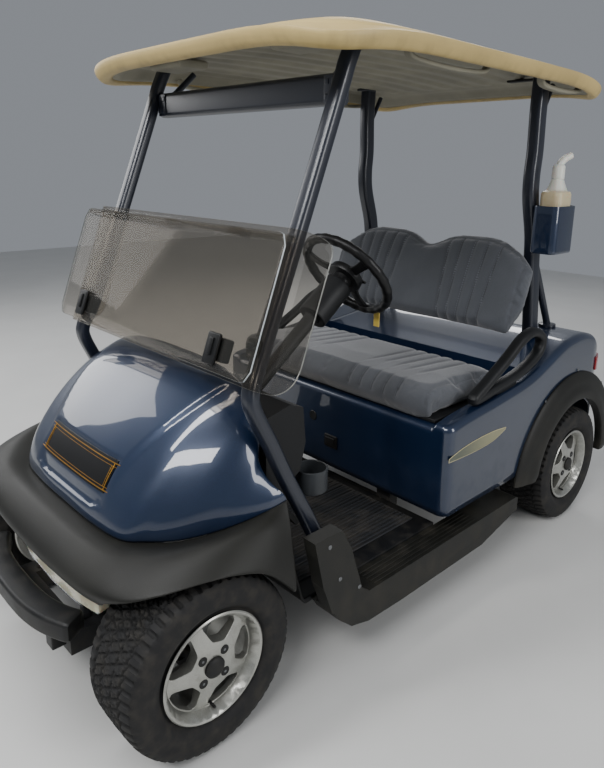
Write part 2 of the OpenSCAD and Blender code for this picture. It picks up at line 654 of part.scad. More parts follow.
back_w = 970;
back_low = [pod_y + 428, 786];
back_rise = 352;
back_lean = 0.42;
back_t = 84;
function back_top(u) =
  back_rise - 46 * exp(-pow(u / 0.17, 2)) - 120 * pow(max(abs(u) - 0.5, 0) / 0.5, 2.2);
function back_point(u, v, depth) =
  let (h = back_top(u) * v, w = (0.93 + 0.07 * smooth01(min(v * 2, 1))))
  [u * back_w / 2 * w, back_low[0] + back_lean * h + depth, back_low[1] + h - depth * back_lean * 0.6];
module seat_back() color("#6f7682") {
  rows = 8;
  cols = 20;
  front = [for (i = [0:rows]) [for (j = [0:cols])
    back_point(-1 + 2 * j / cols, i / rows, 22 * pow(2 * i / rows - 1, 6) + 14 * pow(abs(2 * j / cols - 1), 8))]];
  rear = [for (i = [0:rows]) [for (j = [0:cols])
    back_point(-1 + 2 * j / cols, i / rows, back_t - 22 * pow(2 * i / rows - 1, 6) - 14 * pow(abs(2 * j / cols - 1), 8))]];
  skin(front, rear);
}

// an armrest: a padded loop that stands beside the cushion
arm_x = seat_w / 2 + 31;
arm_half = [21, 18];
arm_loop = [[150, 642], [222, 682], [335, 742], [424, 794], [500, 810], [562, 780], [556, 734], [500, 700],
  [404, 672], [262, 652]];
module armrests() color("#2a2b2e") each_side() {
  n = 40;
  path = [for (k = [0:n - 1]) let (p = loop_at(arm_loop, k / n)) [arm_x, pod_y + p[0], p[1] + pod_z - 598]];
  ring = [for (k = [0:n]) let (q = path[k % n], t = path[(k + 1) % n] - path[(k + n - 1) % n],
    v = cross(t, [1, 0, 0]) / norm(t))
    [for (j = [0:7]) q + [arm_half[0] * cos(45 * j), 0, 0] + v * arm_half[1] * sin(45 * j)]];
  wall = [for (k = [0:n - 1]) for (j = [0:7]) let (a = k * 8 + j, b = k * 8 + (j + 1) % 8,
    c = ((k + 1) % n) * 8 + (j + 1) % 8, d = ((k + 1) % n) * 8 + j) each quad(a, d, c, b)];
  polyhedron(points = [for (k = [0:n - 1]) each ring[k]], faces = wall, convexity = 6);
  prism_x([[pod_y + 270, body_top(270) + seat_gap], [pod_y + 400, body_top(400) + seat_gap],
    [pod_y + 400, body_top(400) + 22], [pod_y + 270, body_top(270) + 22]], arm_x - 12, arm_x + 14);
}
function loop_at(p, t) = let (n = len(p), s = t * n, i = floor(s))
  cat(p[(i + n - 1) % n], p[i % n], p[(i + 1) % n], p[(i + 2) % n], s - i);

// ---------- canopy and its pillars ----------

pillar_half = [[521, -446, 257], [516, -474, 310], [505, -520, 400], [487, -556, 492], [468, -606, 606],
  [460, -652, 712], [452, -692, 800], [446, -694, 846], [436, -664, 906], [434, -600, 1058], [434, -496, 1316],
  [434, -404, 1548], [434, -382, 1606], [434, -350, 1672]];
module front_pillars() color("#20232a") each_side() {
  bar_along([for (k = [0:30]) curve_at(pillar_half, k / 30) + [0, cowl_y, 0]], pillar_w / 2, 20);
  block([sill_x0 + 4, cowl_y - 480, floor_z - 8 + seat_gap], [sill_x1 - boot_t - seat_gap, cowl_y - 410, floor_z + 12]);
  block([404, cowl_y - 380, canopy_top - 76], [464, cowl_y - 320, canopy_top - 65.5]);
}

module header_beam() color("#20232a") {
  y = cowl_y - 372;
  z = 1548;
  x = 434 - pillar_w / 2 - seat_gap;
  translate([-x, y, z]) rotate([0, 90, 0]) linear_extrude(height = 2 * x) rounded_bar(76, 44, 14);
  each_side() rod([x - 40, y + 10, z + 30], [x - 40, y + 90, canopy_top - 96], 10);
}
module rounded_bar(a, b, r) {
  polygon(concat(corner(a / 2 - r, b / 2 - r, r, 0, 90), corner(-a / 2 + r, b / 2 - r, r, 90, 180),
    corner(-a / 2 + r, -b / 2 + r, r, 180, 270), corner(a / 2 - r, -b / 2 + r, r, 270, 360)));
}

strut_x = 400;
strut_half = [24, 30];
strut_back = 13;
strut_steps = 24;
strut_side = [[700, 744], [690, 820], [676, 920], [660, 1020], [646, 1131], [608, 1258], [600, 1340], [606, 1429],
  [602, 1562], [606, 1678]];
foot_r = 30;
function back_rear(h) = [pod_y + back_low[0] + back_lean * h + back_t + seat_gap,
  back_low[1] + h - back_t * back_lean * 0.6];
module rear_struts() color("#20232a") {
  each_side() {
    bar_along([for (k = [0:strut_steps]) let (p = curve_at(strut_side, k / strut_steps))
      [strut_x, pod_y + p[0] + strut_back, p[1]]], strut_half[0], strut_half[1]);
    rod([strut_x, pod_y + 850, pod_z + 162], [strut_x, pod_y + 655, 1100], 14);
    translate([strut_x, pod_y + 850, pod_z + 154 + seat_gap]) cylinder(r = 34, h = 14);
    translate([strut_x, pod_y + 700, body_top(700 + foot_r) + seat_gap]) cylinder(r = foot_r, h = 14);
    rod([strut_x, pod_y + 610, 1500], [strut_x, pod_y + 700, canopy_top - 92], 9);
    block([strut_x - 30, pod_y + 576, canopy_top - 73], [strut_x + 30, pod_y + 636, canopy_top - 60.6]);
    prism_x(concat([back_rear(160), back_rear(205)], [[pod_y + 668, 960], [pod_y + 668, 940]]), 240, 260);
  }
  for (p = [[686, 860], [671, 950]])
    translate([-strut_x, pod_y + p[0], p[1]]) rotate([0, 90, 0]) cylinder(r = 12, h = 2 * strut_x);
}

canopy_y = pod_y + 157;
canopy_n = 48;
// how square the canopy's plan is, how far its corners droop, and how much it narrows towards the rear
canopy_power = 8;
canopy_droop = 28;
canopy_taper = 0.035;
// the droop starts at this share of the canopy's size
droop_from = 0.8;
function droop_at(r) = canopy_droop * pow(max(r - droop_from, 0) / (1 - droop_from), 1.5);
// a ring of the canopy's plan at a share r of its size
function canopy_ring(r, z) = [for (k = [0:canopy_n - 1])
  let (a = 360 * k / canopy_n, c = cos(a), s = sin(a), m = 2 / canopy_power, y = sign(s) * pow(abs(s), m),
    half = canopy_w / 2 * (1 - canopy_taper * (1 + y)))
  [r * half * sign(c) * pow(abs(c), m), canopy_y + r * canopy_len / 2 * y,
    z - droop_at(r) * pow(2 * abs(c * s), 1.5)]];
module canopy() color("#b9aa86") {
  edge = canopy_top - 76;
  top = [for (r = [1, 0.97, 0.9, 0.8, 0.65, 0.5, 0.3, 0.1])
    canopy_ring(r, edge + 76 * (1 - pow(r, 2.6)))];
  under = [for (r = [0.1, 0.4, 0.7, 0.8, 0.88]) canopy_ring(r, edge - 4 + 40 * (1 - pow(r, 3)))];
  loft(concat(under, [canopy_ring(0.93, edge - canopy_lip + 6), canopy_ring(0.97, edge - canopy_lip),
    canopy_ring(0.99, edge - canopy_lip + 8)], top));
}

// ---------- windshield ----------

shield_slope = 0.372;
shield_foot = [cowl_y - 720, 862];
shield_len = 388;
function shield_at(y_gap, d) = [0, shield_foot[0] + y_gap + d * shield_slope / norm([1, shield_slope]),
  shield_foot[1] + d / norm([1, shield_slope])];
shield_tilt = -atan(shield_slope);

module windshield_lower() color([0.75, 0.8, 0.82, 0.35]) {
  translate(shield_at(0, 0)) rotate([shield_tilt, 0, 0]) {
    difference() {
      linear_extrude(height = shield_len) polygon(pane_plan(0));
      translate([0, 0, -eps]) linear_extrude(height = shield_len + 2 * eps) polygon(pane_plan(pane_t));
    }
  }
}
// the lower pane's plan: flat in front, with round corners and side wings that reach back past the pillars
function pane_plan(w) = let (x = 502 - w, r = 40 - w, wing = 118)
  concat(corner(-x + r, r + w, r, 180, 270), corner(x - r, r + w, r, 270, 360),
    [[x, wing + (w > 0 ? eps : 0)], [-x, wing + (w > 0 ? eps : 0)]]);

fold_gap = 31;
module windshield_upper() color([0.75, 0.8, 0.82, 0.35]) {
  translate(shield_at(0, 0)) rotate([shield_tilt, 0, 0])
    block([-500, -fold_gap - pane_t, 14], [500, -fold_gap, 370]);
}

module windshield_fittings() color("#141415") {
  translate(shield_at(0, 0)) rotate([shield_tilt, 0, 0]) {
    block([-500, -fold_gap + seat_gap, shield_len - 34], [500, -seat_gap, shield_len - 22]);
    for (x = [-380, 320]) block([x, -fold_gap + seat_gap, 40], [x + 60, -seat_gap, 100]);
    each_side() block([414, pane_t + seat_gap, 80], [454, pane_t + 13, 120]);
  }
}

// ---------- fittings ----------

// the open box that holds the sand bottle, hung on the left strut's outer side
holder_size = [98, 150, 170];
holder_wall = 4;
holder_at = [strut_x + strut_half[0] + seat_gap + holder_size[0] / 2, pod_y + 664, 1070];
module bottle_holder() color("#1c2c46") translate(holder_at) {
  difference() {
    linear_extrude(height = holder_size[2]) rounded_bar(holder_size[0], holder_size[1], 24);
    translate([0, 0, holder_wall])
      linear_extrude(height = holder_size[2])
        rounded_bar(holder_size[0] - 2 * holder_wall, holder_size[1] - 2 * holder_wall, 20);
  }
}

bottle_size = [84, 104];
module sand_bottle() color("#cfcabb") translate(holder_at + [0, 0, holder_wall + seat_gap]) {
  linear_extrude(height = 215) rounded_bar(bottle_size[0], bottle_size[1], 26);
  translate([0, 0, 214]) cylinder(r1 = 38, r2 = 20, h = 46);
  translate([0, 0, 259]) cylinder(r = 20, h = 50);
  rod([0, 0, 296], [26, 42, 342], 15);
}

module cup_holder() color("#6a6e73") {
  translate([372, cowl_y - 424, 470]) difference() {
    union() {
      cylinder(r = 48, h = 70);
      prism_x([[-100, 50], [-40, 50], [-40, 64], [-76, 84.4], [-100, 68.4]], -56, -16);
    }
    translate([0, 0, 6]) cylinder(r = 42, h = 70);
  }
}

chassis_frame();
front_suspension();
steering_rack();
knuckle_left();
knuckle_right();
rear_axle();
battery_pack();
floor_pan();
floor_mat();
sills();
front_cowl();
front_skirt();
front_bumper();
headlight_bar();
dashboard();
steering_column();
steering_wheel();
pedals();
rear_body();
fender_flares();
rear_bumper();
tail_lights();
seat_cushion();
seat_base();
seat_back();
armrests();
front_pillars();
header_beam();
rear_struts();
canopy();
windshield_lower();
windshield_upper();
windshield_fittings();
bottle_holder();
sand_bottle();
cup_holder();
bag_well();
tyre_front_left();
tyre_front_right();
tyre_rear_left();
tyre_rear_right();
rim_front_left();
rim_front_right();
rim_rear_left();
rim_rear_right();
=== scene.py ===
import sys
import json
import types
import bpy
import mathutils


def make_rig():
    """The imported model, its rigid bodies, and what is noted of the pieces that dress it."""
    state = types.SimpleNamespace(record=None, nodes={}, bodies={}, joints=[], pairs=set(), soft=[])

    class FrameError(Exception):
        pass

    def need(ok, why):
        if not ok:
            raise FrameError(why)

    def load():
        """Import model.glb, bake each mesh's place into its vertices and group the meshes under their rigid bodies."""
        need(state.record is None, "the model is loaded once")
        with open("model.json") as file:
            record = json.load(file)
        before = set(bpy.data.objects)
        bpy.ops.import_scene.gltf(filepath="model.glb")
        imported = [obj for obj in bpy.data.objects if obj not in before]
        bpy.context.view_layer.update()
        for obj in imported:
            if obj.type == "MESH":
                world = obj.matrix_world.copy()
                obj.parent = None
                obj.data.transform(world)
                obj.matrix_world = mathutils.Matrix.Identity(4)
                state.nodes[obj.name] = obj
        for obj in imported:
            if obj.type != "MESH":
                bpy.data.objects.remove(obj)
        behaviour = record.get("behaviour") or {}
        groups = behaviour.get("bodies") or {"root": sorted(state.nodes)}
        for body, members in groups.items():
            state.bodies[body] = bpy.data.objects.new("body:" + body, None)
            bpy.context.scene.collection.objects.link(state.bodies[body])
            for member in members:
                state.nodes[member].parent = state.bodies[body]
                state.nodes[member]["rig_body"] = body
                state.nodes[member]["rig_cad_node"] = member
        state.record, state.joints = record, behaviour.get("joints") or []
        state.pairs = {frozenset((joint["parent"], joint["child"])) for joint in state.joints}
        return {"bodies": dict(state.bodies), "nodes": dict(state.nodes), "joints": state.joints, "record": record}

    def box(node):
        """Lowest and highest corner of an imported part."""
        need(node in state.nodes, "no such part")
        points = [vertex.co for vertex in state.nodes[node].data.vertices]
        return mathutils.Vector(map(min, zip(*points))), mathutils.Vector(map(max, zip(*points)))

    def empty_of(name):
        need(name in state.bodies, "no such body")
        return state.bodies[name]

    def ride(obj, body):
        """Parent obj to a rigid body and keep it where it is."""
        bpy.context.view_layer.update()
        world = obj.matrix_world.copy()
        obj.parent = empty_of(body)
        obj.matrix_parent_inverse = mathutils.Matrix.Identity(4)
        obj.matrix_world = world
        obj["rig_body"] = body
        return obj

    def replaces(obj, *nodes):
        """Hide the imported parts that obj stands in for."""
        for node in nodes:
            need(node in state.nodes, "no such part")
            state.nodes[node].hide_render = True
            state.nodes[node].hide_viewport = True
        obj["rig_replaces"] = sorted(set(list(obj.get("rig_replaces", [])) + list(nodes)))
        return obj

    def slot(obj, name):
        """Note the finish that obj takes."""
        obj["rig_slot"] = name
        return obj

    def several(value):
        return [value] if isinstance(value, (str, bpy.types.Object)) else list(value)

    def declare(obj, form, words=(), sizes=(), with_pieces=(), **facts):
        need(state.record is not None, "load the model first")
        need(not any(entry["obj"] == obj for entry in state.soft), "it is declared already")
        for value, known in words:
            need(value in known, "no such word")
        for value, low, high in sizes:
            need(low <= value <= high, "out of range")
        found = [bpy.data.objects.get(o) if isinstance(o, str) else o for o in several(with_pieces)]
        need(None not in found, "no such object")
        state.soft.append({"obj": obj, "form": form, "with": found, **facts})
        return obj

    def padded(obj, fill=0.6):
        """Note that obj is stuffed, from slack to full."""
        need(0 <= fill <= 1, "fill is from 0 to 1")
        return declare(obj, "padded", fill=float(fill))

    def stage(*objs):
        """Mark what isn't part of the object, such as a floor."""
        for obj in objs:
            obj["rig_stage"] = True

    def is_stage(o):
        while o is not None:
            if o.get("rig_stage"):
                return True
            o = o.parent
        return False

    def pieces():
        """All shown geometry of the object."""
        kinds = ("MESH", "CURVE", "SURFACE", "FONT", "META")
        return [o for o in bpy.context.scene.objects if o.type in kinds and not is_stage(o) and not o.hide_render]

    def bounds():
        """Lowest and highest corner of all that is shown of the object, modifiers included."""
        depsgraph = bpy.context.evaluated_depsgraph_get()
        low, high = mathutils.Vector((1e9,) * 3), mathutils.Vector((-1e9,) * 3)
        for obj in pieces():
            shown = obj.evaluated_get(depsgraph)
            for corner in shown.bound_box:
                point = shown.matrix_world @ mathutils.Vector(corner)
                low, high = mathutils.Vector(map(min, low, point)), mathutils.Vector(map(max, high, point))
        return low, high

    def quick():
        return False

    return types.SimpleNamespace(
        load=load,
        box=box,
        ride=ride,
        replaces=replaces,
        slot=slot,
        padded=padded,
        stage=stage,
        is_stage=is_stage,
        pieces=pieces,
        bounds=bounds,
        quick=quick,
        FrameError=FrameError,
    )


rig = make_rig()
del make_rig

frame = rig.load()

import json
import math

import bmesh
import bpy
import numpy as np
from bpy.props import FloatProperty, FloatVectorProperty, PointerProperty
from bpy.types import Operator, Panel, PropertyGroup
from mathutils import Matrix, Vector

bl_info = {
    "name": "Two-seat electric cart",
    "version": (1, 0, 0),
    "blender": (4, 5, 0),
    "location": "3D View > Sidebar > Cart",
    "description": "Builds the surfaces, cushions and finishes of a two-seat electric cart on its packed frame",
    "category": "Add Mesh",
}

MM = 0.001
MERGE = 0.02 * MM
CAD_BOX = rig.bounds()
NODES = frame["nodes"]


# ---------- numbers and curves ----------


def mid(node):
    """The middle of a frame node's box, in millimetres."""
    low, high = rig.box(node)
    return np.array((low + high) / 2) * 1000


def smooth(value, low, high):
    """0 below low, 1 above high, and an S curve 3t2 - 2t3 between them."""
    t = np.clip((value - low) / (high - low), 0, 1)
    return t * t * (3 - 2 * t)


def bell(value, width):
    """A bump of height 1 at zero: exp(-(value / width)^2)."""
    return np.exp(-((value / width) ** 2))


def cubic(a, b, c, d, f):
    """Catmull-Rom: from b at f = 0 to c at f = 1, leaving b parallel to c - a and reaching c parallel to d - b."""
    return 0.5 * (2 * b + (c - a) * f + (2 * a - 5 * b + 4 * c - d) * f**2 + (3 * b - a - 3 * c + d) * f**3)


def curve_at(points, s, closed=False):
    """A smooth curve through points: from number floor(s) towards the next one, by the rest of s."""
    p = np.asarray(points, float)
    m = len(p)
    i = np.floor(np.asarray(s, float)).astype(int)
    i = i if closed else np.clip(i, 0, m - 2)
    f = (np.asarray(s, float) - i)[..., None]
    if closed:
        a, b, c, d = p[(i - 1) % m], p[i % m], p[(i + 1) % m], p[(i + 2) % m]
    else:
        a, b, c, d = p[np.maximum(i - 1, 0)], p[i], p[i + 1], p[np.minimum(i + 2, m - 1)]
    return cubic(a, b, c, d, f)


def curve(points, count, closed=False):
    """count places evenly along the curve's own parameter."""
    last = len(points) if closed else len(points) - 1
    return curve_at(points, np.linspace(0, last, count, endpoint=not closed), closed)


def both_sides(half):
    """The left half of a line, listed from the middle outwards, made whole from right to left."""
    p = np.array(half, float)
    return np.concatenate([p[:0:-1] * [-1, 1, 1], p])


def unit(v):
    """v at length 1 along its last axis."""
    return v / np.maximum(np.linalg.norm(v, axis=-1, keepdims=True), 1e-12)


def border(g):
    """The outermost points of a grid, in order round it."""
    return np.concatenate([g[0], g[1:, -1], g[-1, -2::-1], g[-2:0:-1, 0]])


def oblong(width, height, radius, steps=5):
    """A rounded rectangle's outline: four quarter circles of the radius, joined by straight sides."""
    a = np.radians(np.concatenate([np.linspace(k, k + 90, steps + 1) for k in (0, 90, 180, 270)]))
    sx = np.repeat([1, -1, -1, 1], steps + 1) * (width / 2 - radius)
    sy = np.repeat([1, 1, -1, -1], steps + 1) * (height / 2 - radius)
    return np.stack([sx + radius * np.cos(a), sy + radius * np.sin(a)], -1)


def circle(radius, steps=16):
    """A circle's outline."""
    a = np.linspace(0, 2 * math.pi, steps, endpoint=False)
    return radius * np.stack([np.cos(a), np.sin(a)], -1)


def arc(centre, radius, start, end, count):
    """Places on a circle's arc in a plane, angles in degrees."""
    a = np.radians(np.linspace(start, end, count))
    return np.asarray(centre, float) + radius * np.stack([np.cos(a), np.sin(a)], -1)


# ---------- meshes ----------


class Shell:
    """Points in millimetres, and the faces between them, gathered for one piece."""

    def __init__(self):
        self.points, self.loops, self.sizes, self.count = [], [], [], 0

    def add(self, points, faces):
        points = np.asarray(points, float).reshape(-1, 3)
        faces = np.asarray(faces, int) + self.count
        self.points.append(points)
        self.loops.append(faces.ravel())
        self.sizes.append(np.full(len(faces), faces.shape[1]))
        self.count += len(points)
        return self

    def grid(self, p, around=False, stacked=False, flip=False):
        """Four-cornered faces between the points of p; around closes its columns and stacked its rows."""
        rows, cols = p.shape[:2]
        i, j = np.meshgrid(np.arange(rows - (not stacked)), np.arange(cols - (not around)), indexing="ij")
        k, l = (i + 1) % rows, (j + 1) % cols
        quads = np.stack([i * cols + j, i * cols + l, k * cols + l, k * cols + j], -1).reshape(-1, 4)
        return self.add(p, quads[:, ::-1] if flip else quads)

    def cap(self, ring):
        """A fan of triangles from a ring's middle."""
        n = len(ring)
        j = np.arange(n)
        fan = np.stack([j, (j + 1) % n, np.full(n, n)], -1)
        return self.add(np.concatenate([ring, ring.mean(0)[None]]), fan)

    def stack(self, rings, closed=False):
        """A skin through rings of points, with both ends capped unless the rings close on themselves."""
        self.grid(rings, around=True, stacked=closed)
        if not closed:
            self.cap(rings[0])
            self.cap(rings[-1])
        return self

    def sweep(self, path, outline, side=(1, 0, 0), scale=None, closed=False):
        """An outline carried along a path: place + outline x across + outline y up, where across is the side
        direction made square to the path and up is square to both. scale sizes the outline along the path."""
        path = np.asarray(path, float)
        along = np.roll(path, -1, 0) - np.roll(path, 1, 0) if closed else np.gradient(path, axis=0)
        up = unit(np.cross(along, np.asarray(side, float)))
        across = unit(np.cross(up, along))
        size = np.ones(len(path)) if scale is None else np.asarray(scale, float)
        x = outline[None, :, 0, None] * size[:, None, None]
        y = outline[None, :, 1, None] * size[:, None, None]
        return self.stack(path[:, None] + x * across[:, None] + y * up[:, None], closed)

    def rod(self, a, b, radius, steps=16, ends=0.25):
        """A round bar from a to b: circles of the radius, with the last ones drawn in to ease its ends."""
        a, b = np.asarray(a, float), np.asarray(b, float)
        length = np.linalg.norm(b - a)
        e = min(ends * radius, length / 4) / length
        t = np.array([0, e, 1 - e, 1])
        r = np.array([1 - ends, 1, 1, 1 - ends])
        side = (0, 0, 1) if abs((b - a)[2]) < 0.8 * length else (1, 0, 0)
        return self.sweep(a + (b - a) * t[:, None], circle(radius, steps), side, r)

    def turned(self, profile, centre, axis="x", steps=48, flip=1):
        """A profile of (distance along the axis, radius) turned round the axis."""
        p = np.asarray(profile, float)
        a = np.linspace(0, 2 * math.pi, steps, endpoint=False)
        along = np.repeat(p[:, :1] * flip, steps, 1)
        u, v = p[:, 1:] * np.cos(a), p[:, 1:] * np.sin(a)
        order = {"x": (along, u, v), "y": (u, along, v), "z": (u, v, along)}[axis]
        return self.stack(np.stack(order, -1) + np.asarray(centre, float))

    def box(self, low, high, radius=3, steps=3):
        """A box with round edges: a gridded box, each point moved to the radius from its nearest place on the
        box shrunk by the radius."""
        low, high = np.asarray(low, float), np.asarray(high, float)
        half, centre = (high - low) / 2, (high + low) / 2
        radius = min(radius, half.min() * 0.98)
        bend = radius * np.tan(np.radians(np.linspace(0, 45, steps + 1)))
        for axis in range(3):
            u, v = (axis + 1) % 3, (axis + 2) % 3
            flat = half - radius
            lines = [np.concatenate([-flat[k] - bend[::-1], flat[k] + bend]) for k in (u, v)]
            for sign in (-1, 1):
                gu, gv = np.meshgrid(*lines, indexing="ij")
                p = np.zeros(gu.shape + (3,))
                p[..., u], p[..., v], p[..., axis] = gu, gv, sign * half[axis]
                inner = np.clip(p, -(half - radius), half - radius)
                self.grid(centre + inner + radius * unit(p - inner), flip=sign > 0)
        return self

    def mirrored(self):
        """Adds the same points and faces again on the other side of the cart."""
        points, loops, sizes, count = self.points[:], self.loops[:], self.sizes[:], self.count
        for p, l, s in zip(points, loops, sizes):
            self.points.append(p * [-1, 1, 1])
            self.loops.append((l + count).reshape(-1, s[0])[:, ::-1].ravel())
            self.sizes.append(s)
        self.count += count
        return self

    def moved(self, place, turn=None):
        """Turns everything gathered so far by a matrix and moves it."""
        turn = np.eye(3) if turn is None else np.asarray(turn, float)
        self.points = [p @ turn.T + np.asarray(place, float) for p in self.points]
        return self


def mesh_from(name, shell, closed=True, angle=38):
    """The gathered points as a mesh, its doubles merged, smooth except over edges sharper than the angle."""
    points = np.concatenate(shell.points) * MM
    loops, sizes = np.concatenate(shell.loops), np.concatenate(shell.sizes)
    mesh = bpy.data.meshes.new(name)
    mesh.vertices.add(len(points))
    mesh.vertices.foreach_set("co", points.astype(np.float32).ravel())
    mesh.loops.add(len(loops))
    mesh.loops.foreach_set("vertex_index", loops.astype(np.int32))
    mesh.polygons.add(len(sizes))
    mesh.polygons.foreach_set("loop_start", (np.cumsum(sizes) - sizes).astype(np.int32))
    mesh.update(calc_edges=True)
    mesh.validate()
    work = bmesh.new()
    work.from_mesh(mesh)
    bmesh.ops.remove_doubles(work, verts=work.verts, dist=MERGE)
    if closed:
        bmesh.ops.recalc_face_normals(work, faces=work.faces)
    work.to_mesh(mesh)
    work.free()
    mesh.shade_smooth()
    mesh.set_sharp_from_angle(angle=math.radians(angle))
    return mesh


def placed(name, data):
    """An object of that name in the scene, holding a mesh, a lamp or a camera."""
    thing = bpy.data.objects.new(name, data)
    bpy.context.scene.collection.objects.link(thing)
    return thing


def piece(name, shell, finish, body="chassis", slot=None, closed=True, replaces=()):
    """A finished object from a shell: it rides on the body, takes the slot and replaces the nodes named."""
    mesh = shell if isinstance(shell, bpy.types.Mesh) else mesh_from(name, shell, closed)
    thing = placed(name, mesh)
    mesh.materials.append(finish)
    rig.ride(thing, body)
    if slot:
        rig.slot(thing, slot)
    if replaces:
        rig.replaces(thing, *replaces)
    return thing


def wall(thing, thickness, edge_finish=None):
    """Gives a sheet its thickness, away from the side that its faces point to."""
    m = thing.modifiers.new("wall", "SOLIDIFY")
    m.thickness, m.offset = thickness * MM, -1
    m.use_even_offset = False
    if edge_finish:
        thing.data.materials.append(edge_finish)
        m.material_offset_rim = 1
    return thing


FLAT = math.radians(1.2)


def softened(node, finish, width, body="chassis", slot=None, angle=32, steps=2):
    """A copy of a frame node with its doubles merged, its flat faces joined and its sharp edges rounded."""
    mesh = NODES[node].data.copy()
    mesh.materials.clear()
    work = bmesh.new()
    work.from_mesh(mesh)
    bmesh.ops.remove_doubles(work, verts=work.verts, dist=MERGE)
    bmesh.ops.dissolve_limit(work, angle_limit=FLAT, verts=work.verts, edges=work.edges)
    work.to_mesh(mesh)
    work.free()
    mesh.shade_smooth()
    mesh.set_sharp_from_angle(angle=math.radians(angle))
    thing = piece(node + "_body", mesh, finish, body, slot, replaces=(node,))
    m = thing.modifiers.new("edges", "BEVEL")
    m.width, m.segments, m.limit_method, m.angle_limit = width * MM, steps, "ANGLE", math.radians(angle)
    m.harden_normals = False
    m.miter_outer = "MITER_ARC"
    return thing


# ---------- finishes ----------


def tone(colour):
    """A colour written as six hex digits, as linear red, green, blue and 1."""
    values = [int(colour[k : k + 2], 16) / 255 for k in (0, 2, 4)]
    return (*[v / 12.92 if v <= 0.04045 else ((v + 0.055) / 1.055) ** 2.4 for v in values], 1)


class Reading:
    """A number read at each place on a surface. Python's operators on it add Math nodes."""

    def __init__(self, surface, socket):
        self.surface, self.socket = surface, socket

    def math(self, operation, *values):
        """One Math node."""
        return self.surface.read("ShaderNodeMath", {"operation": operation}, dict(enumerate(values)))

    def __add__(self, other):
        return self.math("ADD", self, other)

    def __radd__(self, other):
        return self.math("ADD", other, self)

    def __sub__(self, other):
        return self.math("SUBTRACT", self, other)

    def __rsub__(self, other):
        return self.math("SUBTRACT", other, self)

    def __mul__(self, other):
        return self.math("MULTIPLY", self, other)

    def __rmul__(self, other):
        return self.math("MULTIPLY", other, self)

    def __truediv__(self, other):
        return self.math("DIVIDE", self, other)

    def __abs__(self):
        return self.math("ABSOLUTE", self)

    def wave(self, pitch):
        """A triangle wave from 0 to 1 that repeats every pitch."""
        return self.math("PINGPONG", self / (pitch / 2), 1.0)

    def rise(self, low, high, top=1.0, bottom=0.0):
        """bottom below low, top above high, and an S curve between them."""
        return self.surface.read(
            "ShaderNodeMapRange",
            {"interpolation_type": "SMOOTHSTEP"},
            {"Value": self, "From Min": low, "From Max": high, "To Min": bottom, "To Max": top},
        )


class Finish:
    """One material: a Principled shader whose fixed values are set on it and whose varying ones are linked."""

    def __init__(self, name, **fixed):
        self.material = bpy.data.materials.new(name)
        self.material.use_nodes = True
        self.tree = self.material.node_tree
        self.shader = self.tree.nodes["Principled BSDF"]
        for key, value in fixed.items():
            self.shader.inputs[key.replace("_", " ")].default_value = value
        self.place = self.add("ShaderNodeTexCoord").outputs["Object"]
        axes = self.add("ShaderNodeSeparateXYZ", {}, {0: self.place})
        self.x, self.y, self.z = (Reading(self, axes.outputs[k]) for k in range(3))

    def add(self, kind, settings=None, values=None):
        """One node of a kind: its settings first, then the values or links of its sockets."""
        node = self.tree.nodes.new(kind)
        for key, value in (settings or {}).items():
            setattr(node, key, value)
        for key, value in (values or {}).items():
            source = getattr(value, "socket", value)
            if isinstance(source, bpy.types.NodeSocket):
                self.tree.links.new(source, node.inputs[key])
            else:
                node.inputs[key].default_value = source
        return node

    def read(self, kind, settings=None, values=None, output=0):
        """One node whose output goes on as a number."""
        return Reading(self, self.add(kind, settings, values).outputs[output])

    def stretched(self, x, y, z):
        """The place with each direction scaled, for patterns that run one way."""
        return self.add("ShaderNodeMapping", {}, {"Vector": self.place, "Scale": (x, y, z)}).outputs[0]

    def noise(self, scale, detail=3.0, rough=0.55, place=None):
        """Cloudy noise, scale lumps to a metre."""
        values = {"Vector": place or self.place, "Scale": scale, "Detail": detail, "Roughness": rough}
        return self.read("ShaderNodeTexNoise", {}, values)

    def cells(self, scale):
        """The distance to the nearest of scattered points, scale of them to a metre."""
        return self.read("ShaderNodeTexVoronoi", {"feature": "F1"}, {"Vector": self.place, "Scale": scale})

    def held(self, name):
        """A number kept on the piece's own points."""
        return self.read("ShaderNodeAttribute", {"attribute_name": name}, {}, 2)

    def blend(self, share, first, second):
        """Colour first where share is 0 and second where it is 1."""
        return self.add("ShaderNodeMix", {"data_type": "RGBA"}, {0: share, 6: first, 7: second}).outputs[2]

    def link(self, **varying):
        """Links readings and colours to the shader's sockets."""
        for key, value in varying.items():
            self.tree.links.new(getattr(value, "socket", value), self.shader.inputs[key.replace("_", " ")])
        return self

    def bump(self, height, strength=0.5, distance=1.0):
        """Tilts the shading by the slope of height, whose full step stands for distance in millimetres."""
        values = {"Strength": strength, "Distance": distance * MM, "Height": height}
        node = self.add("ShaderNodeBump", {}, values)
        self.tree.links.new(node.outputs[0], self.shader.inputs["Normal"])
        return self


FINISHES = {}


def finish(name):
    """The finish of that name, made the first time it is asked for."""
    if name not in FINISHES:
        FINISHES[name] = globals()["finish_" + name]().material
    return FINISHES[name]


def colour(name):
    """One of the cart's own colours."""
    return tuple(getattr(bpy.context.scene.cart_colours, name))


def size(name):
    """One of the cart's own sizes, in millimetres."""
    return round(getattr(bpy.context.scene.cart_sizes, name) / MM, 3)


def darker(shade, share):
    """A colour with its red, green and blue multiplied by the share."""
    return (*[v * share for v in shade[:3]], 1)


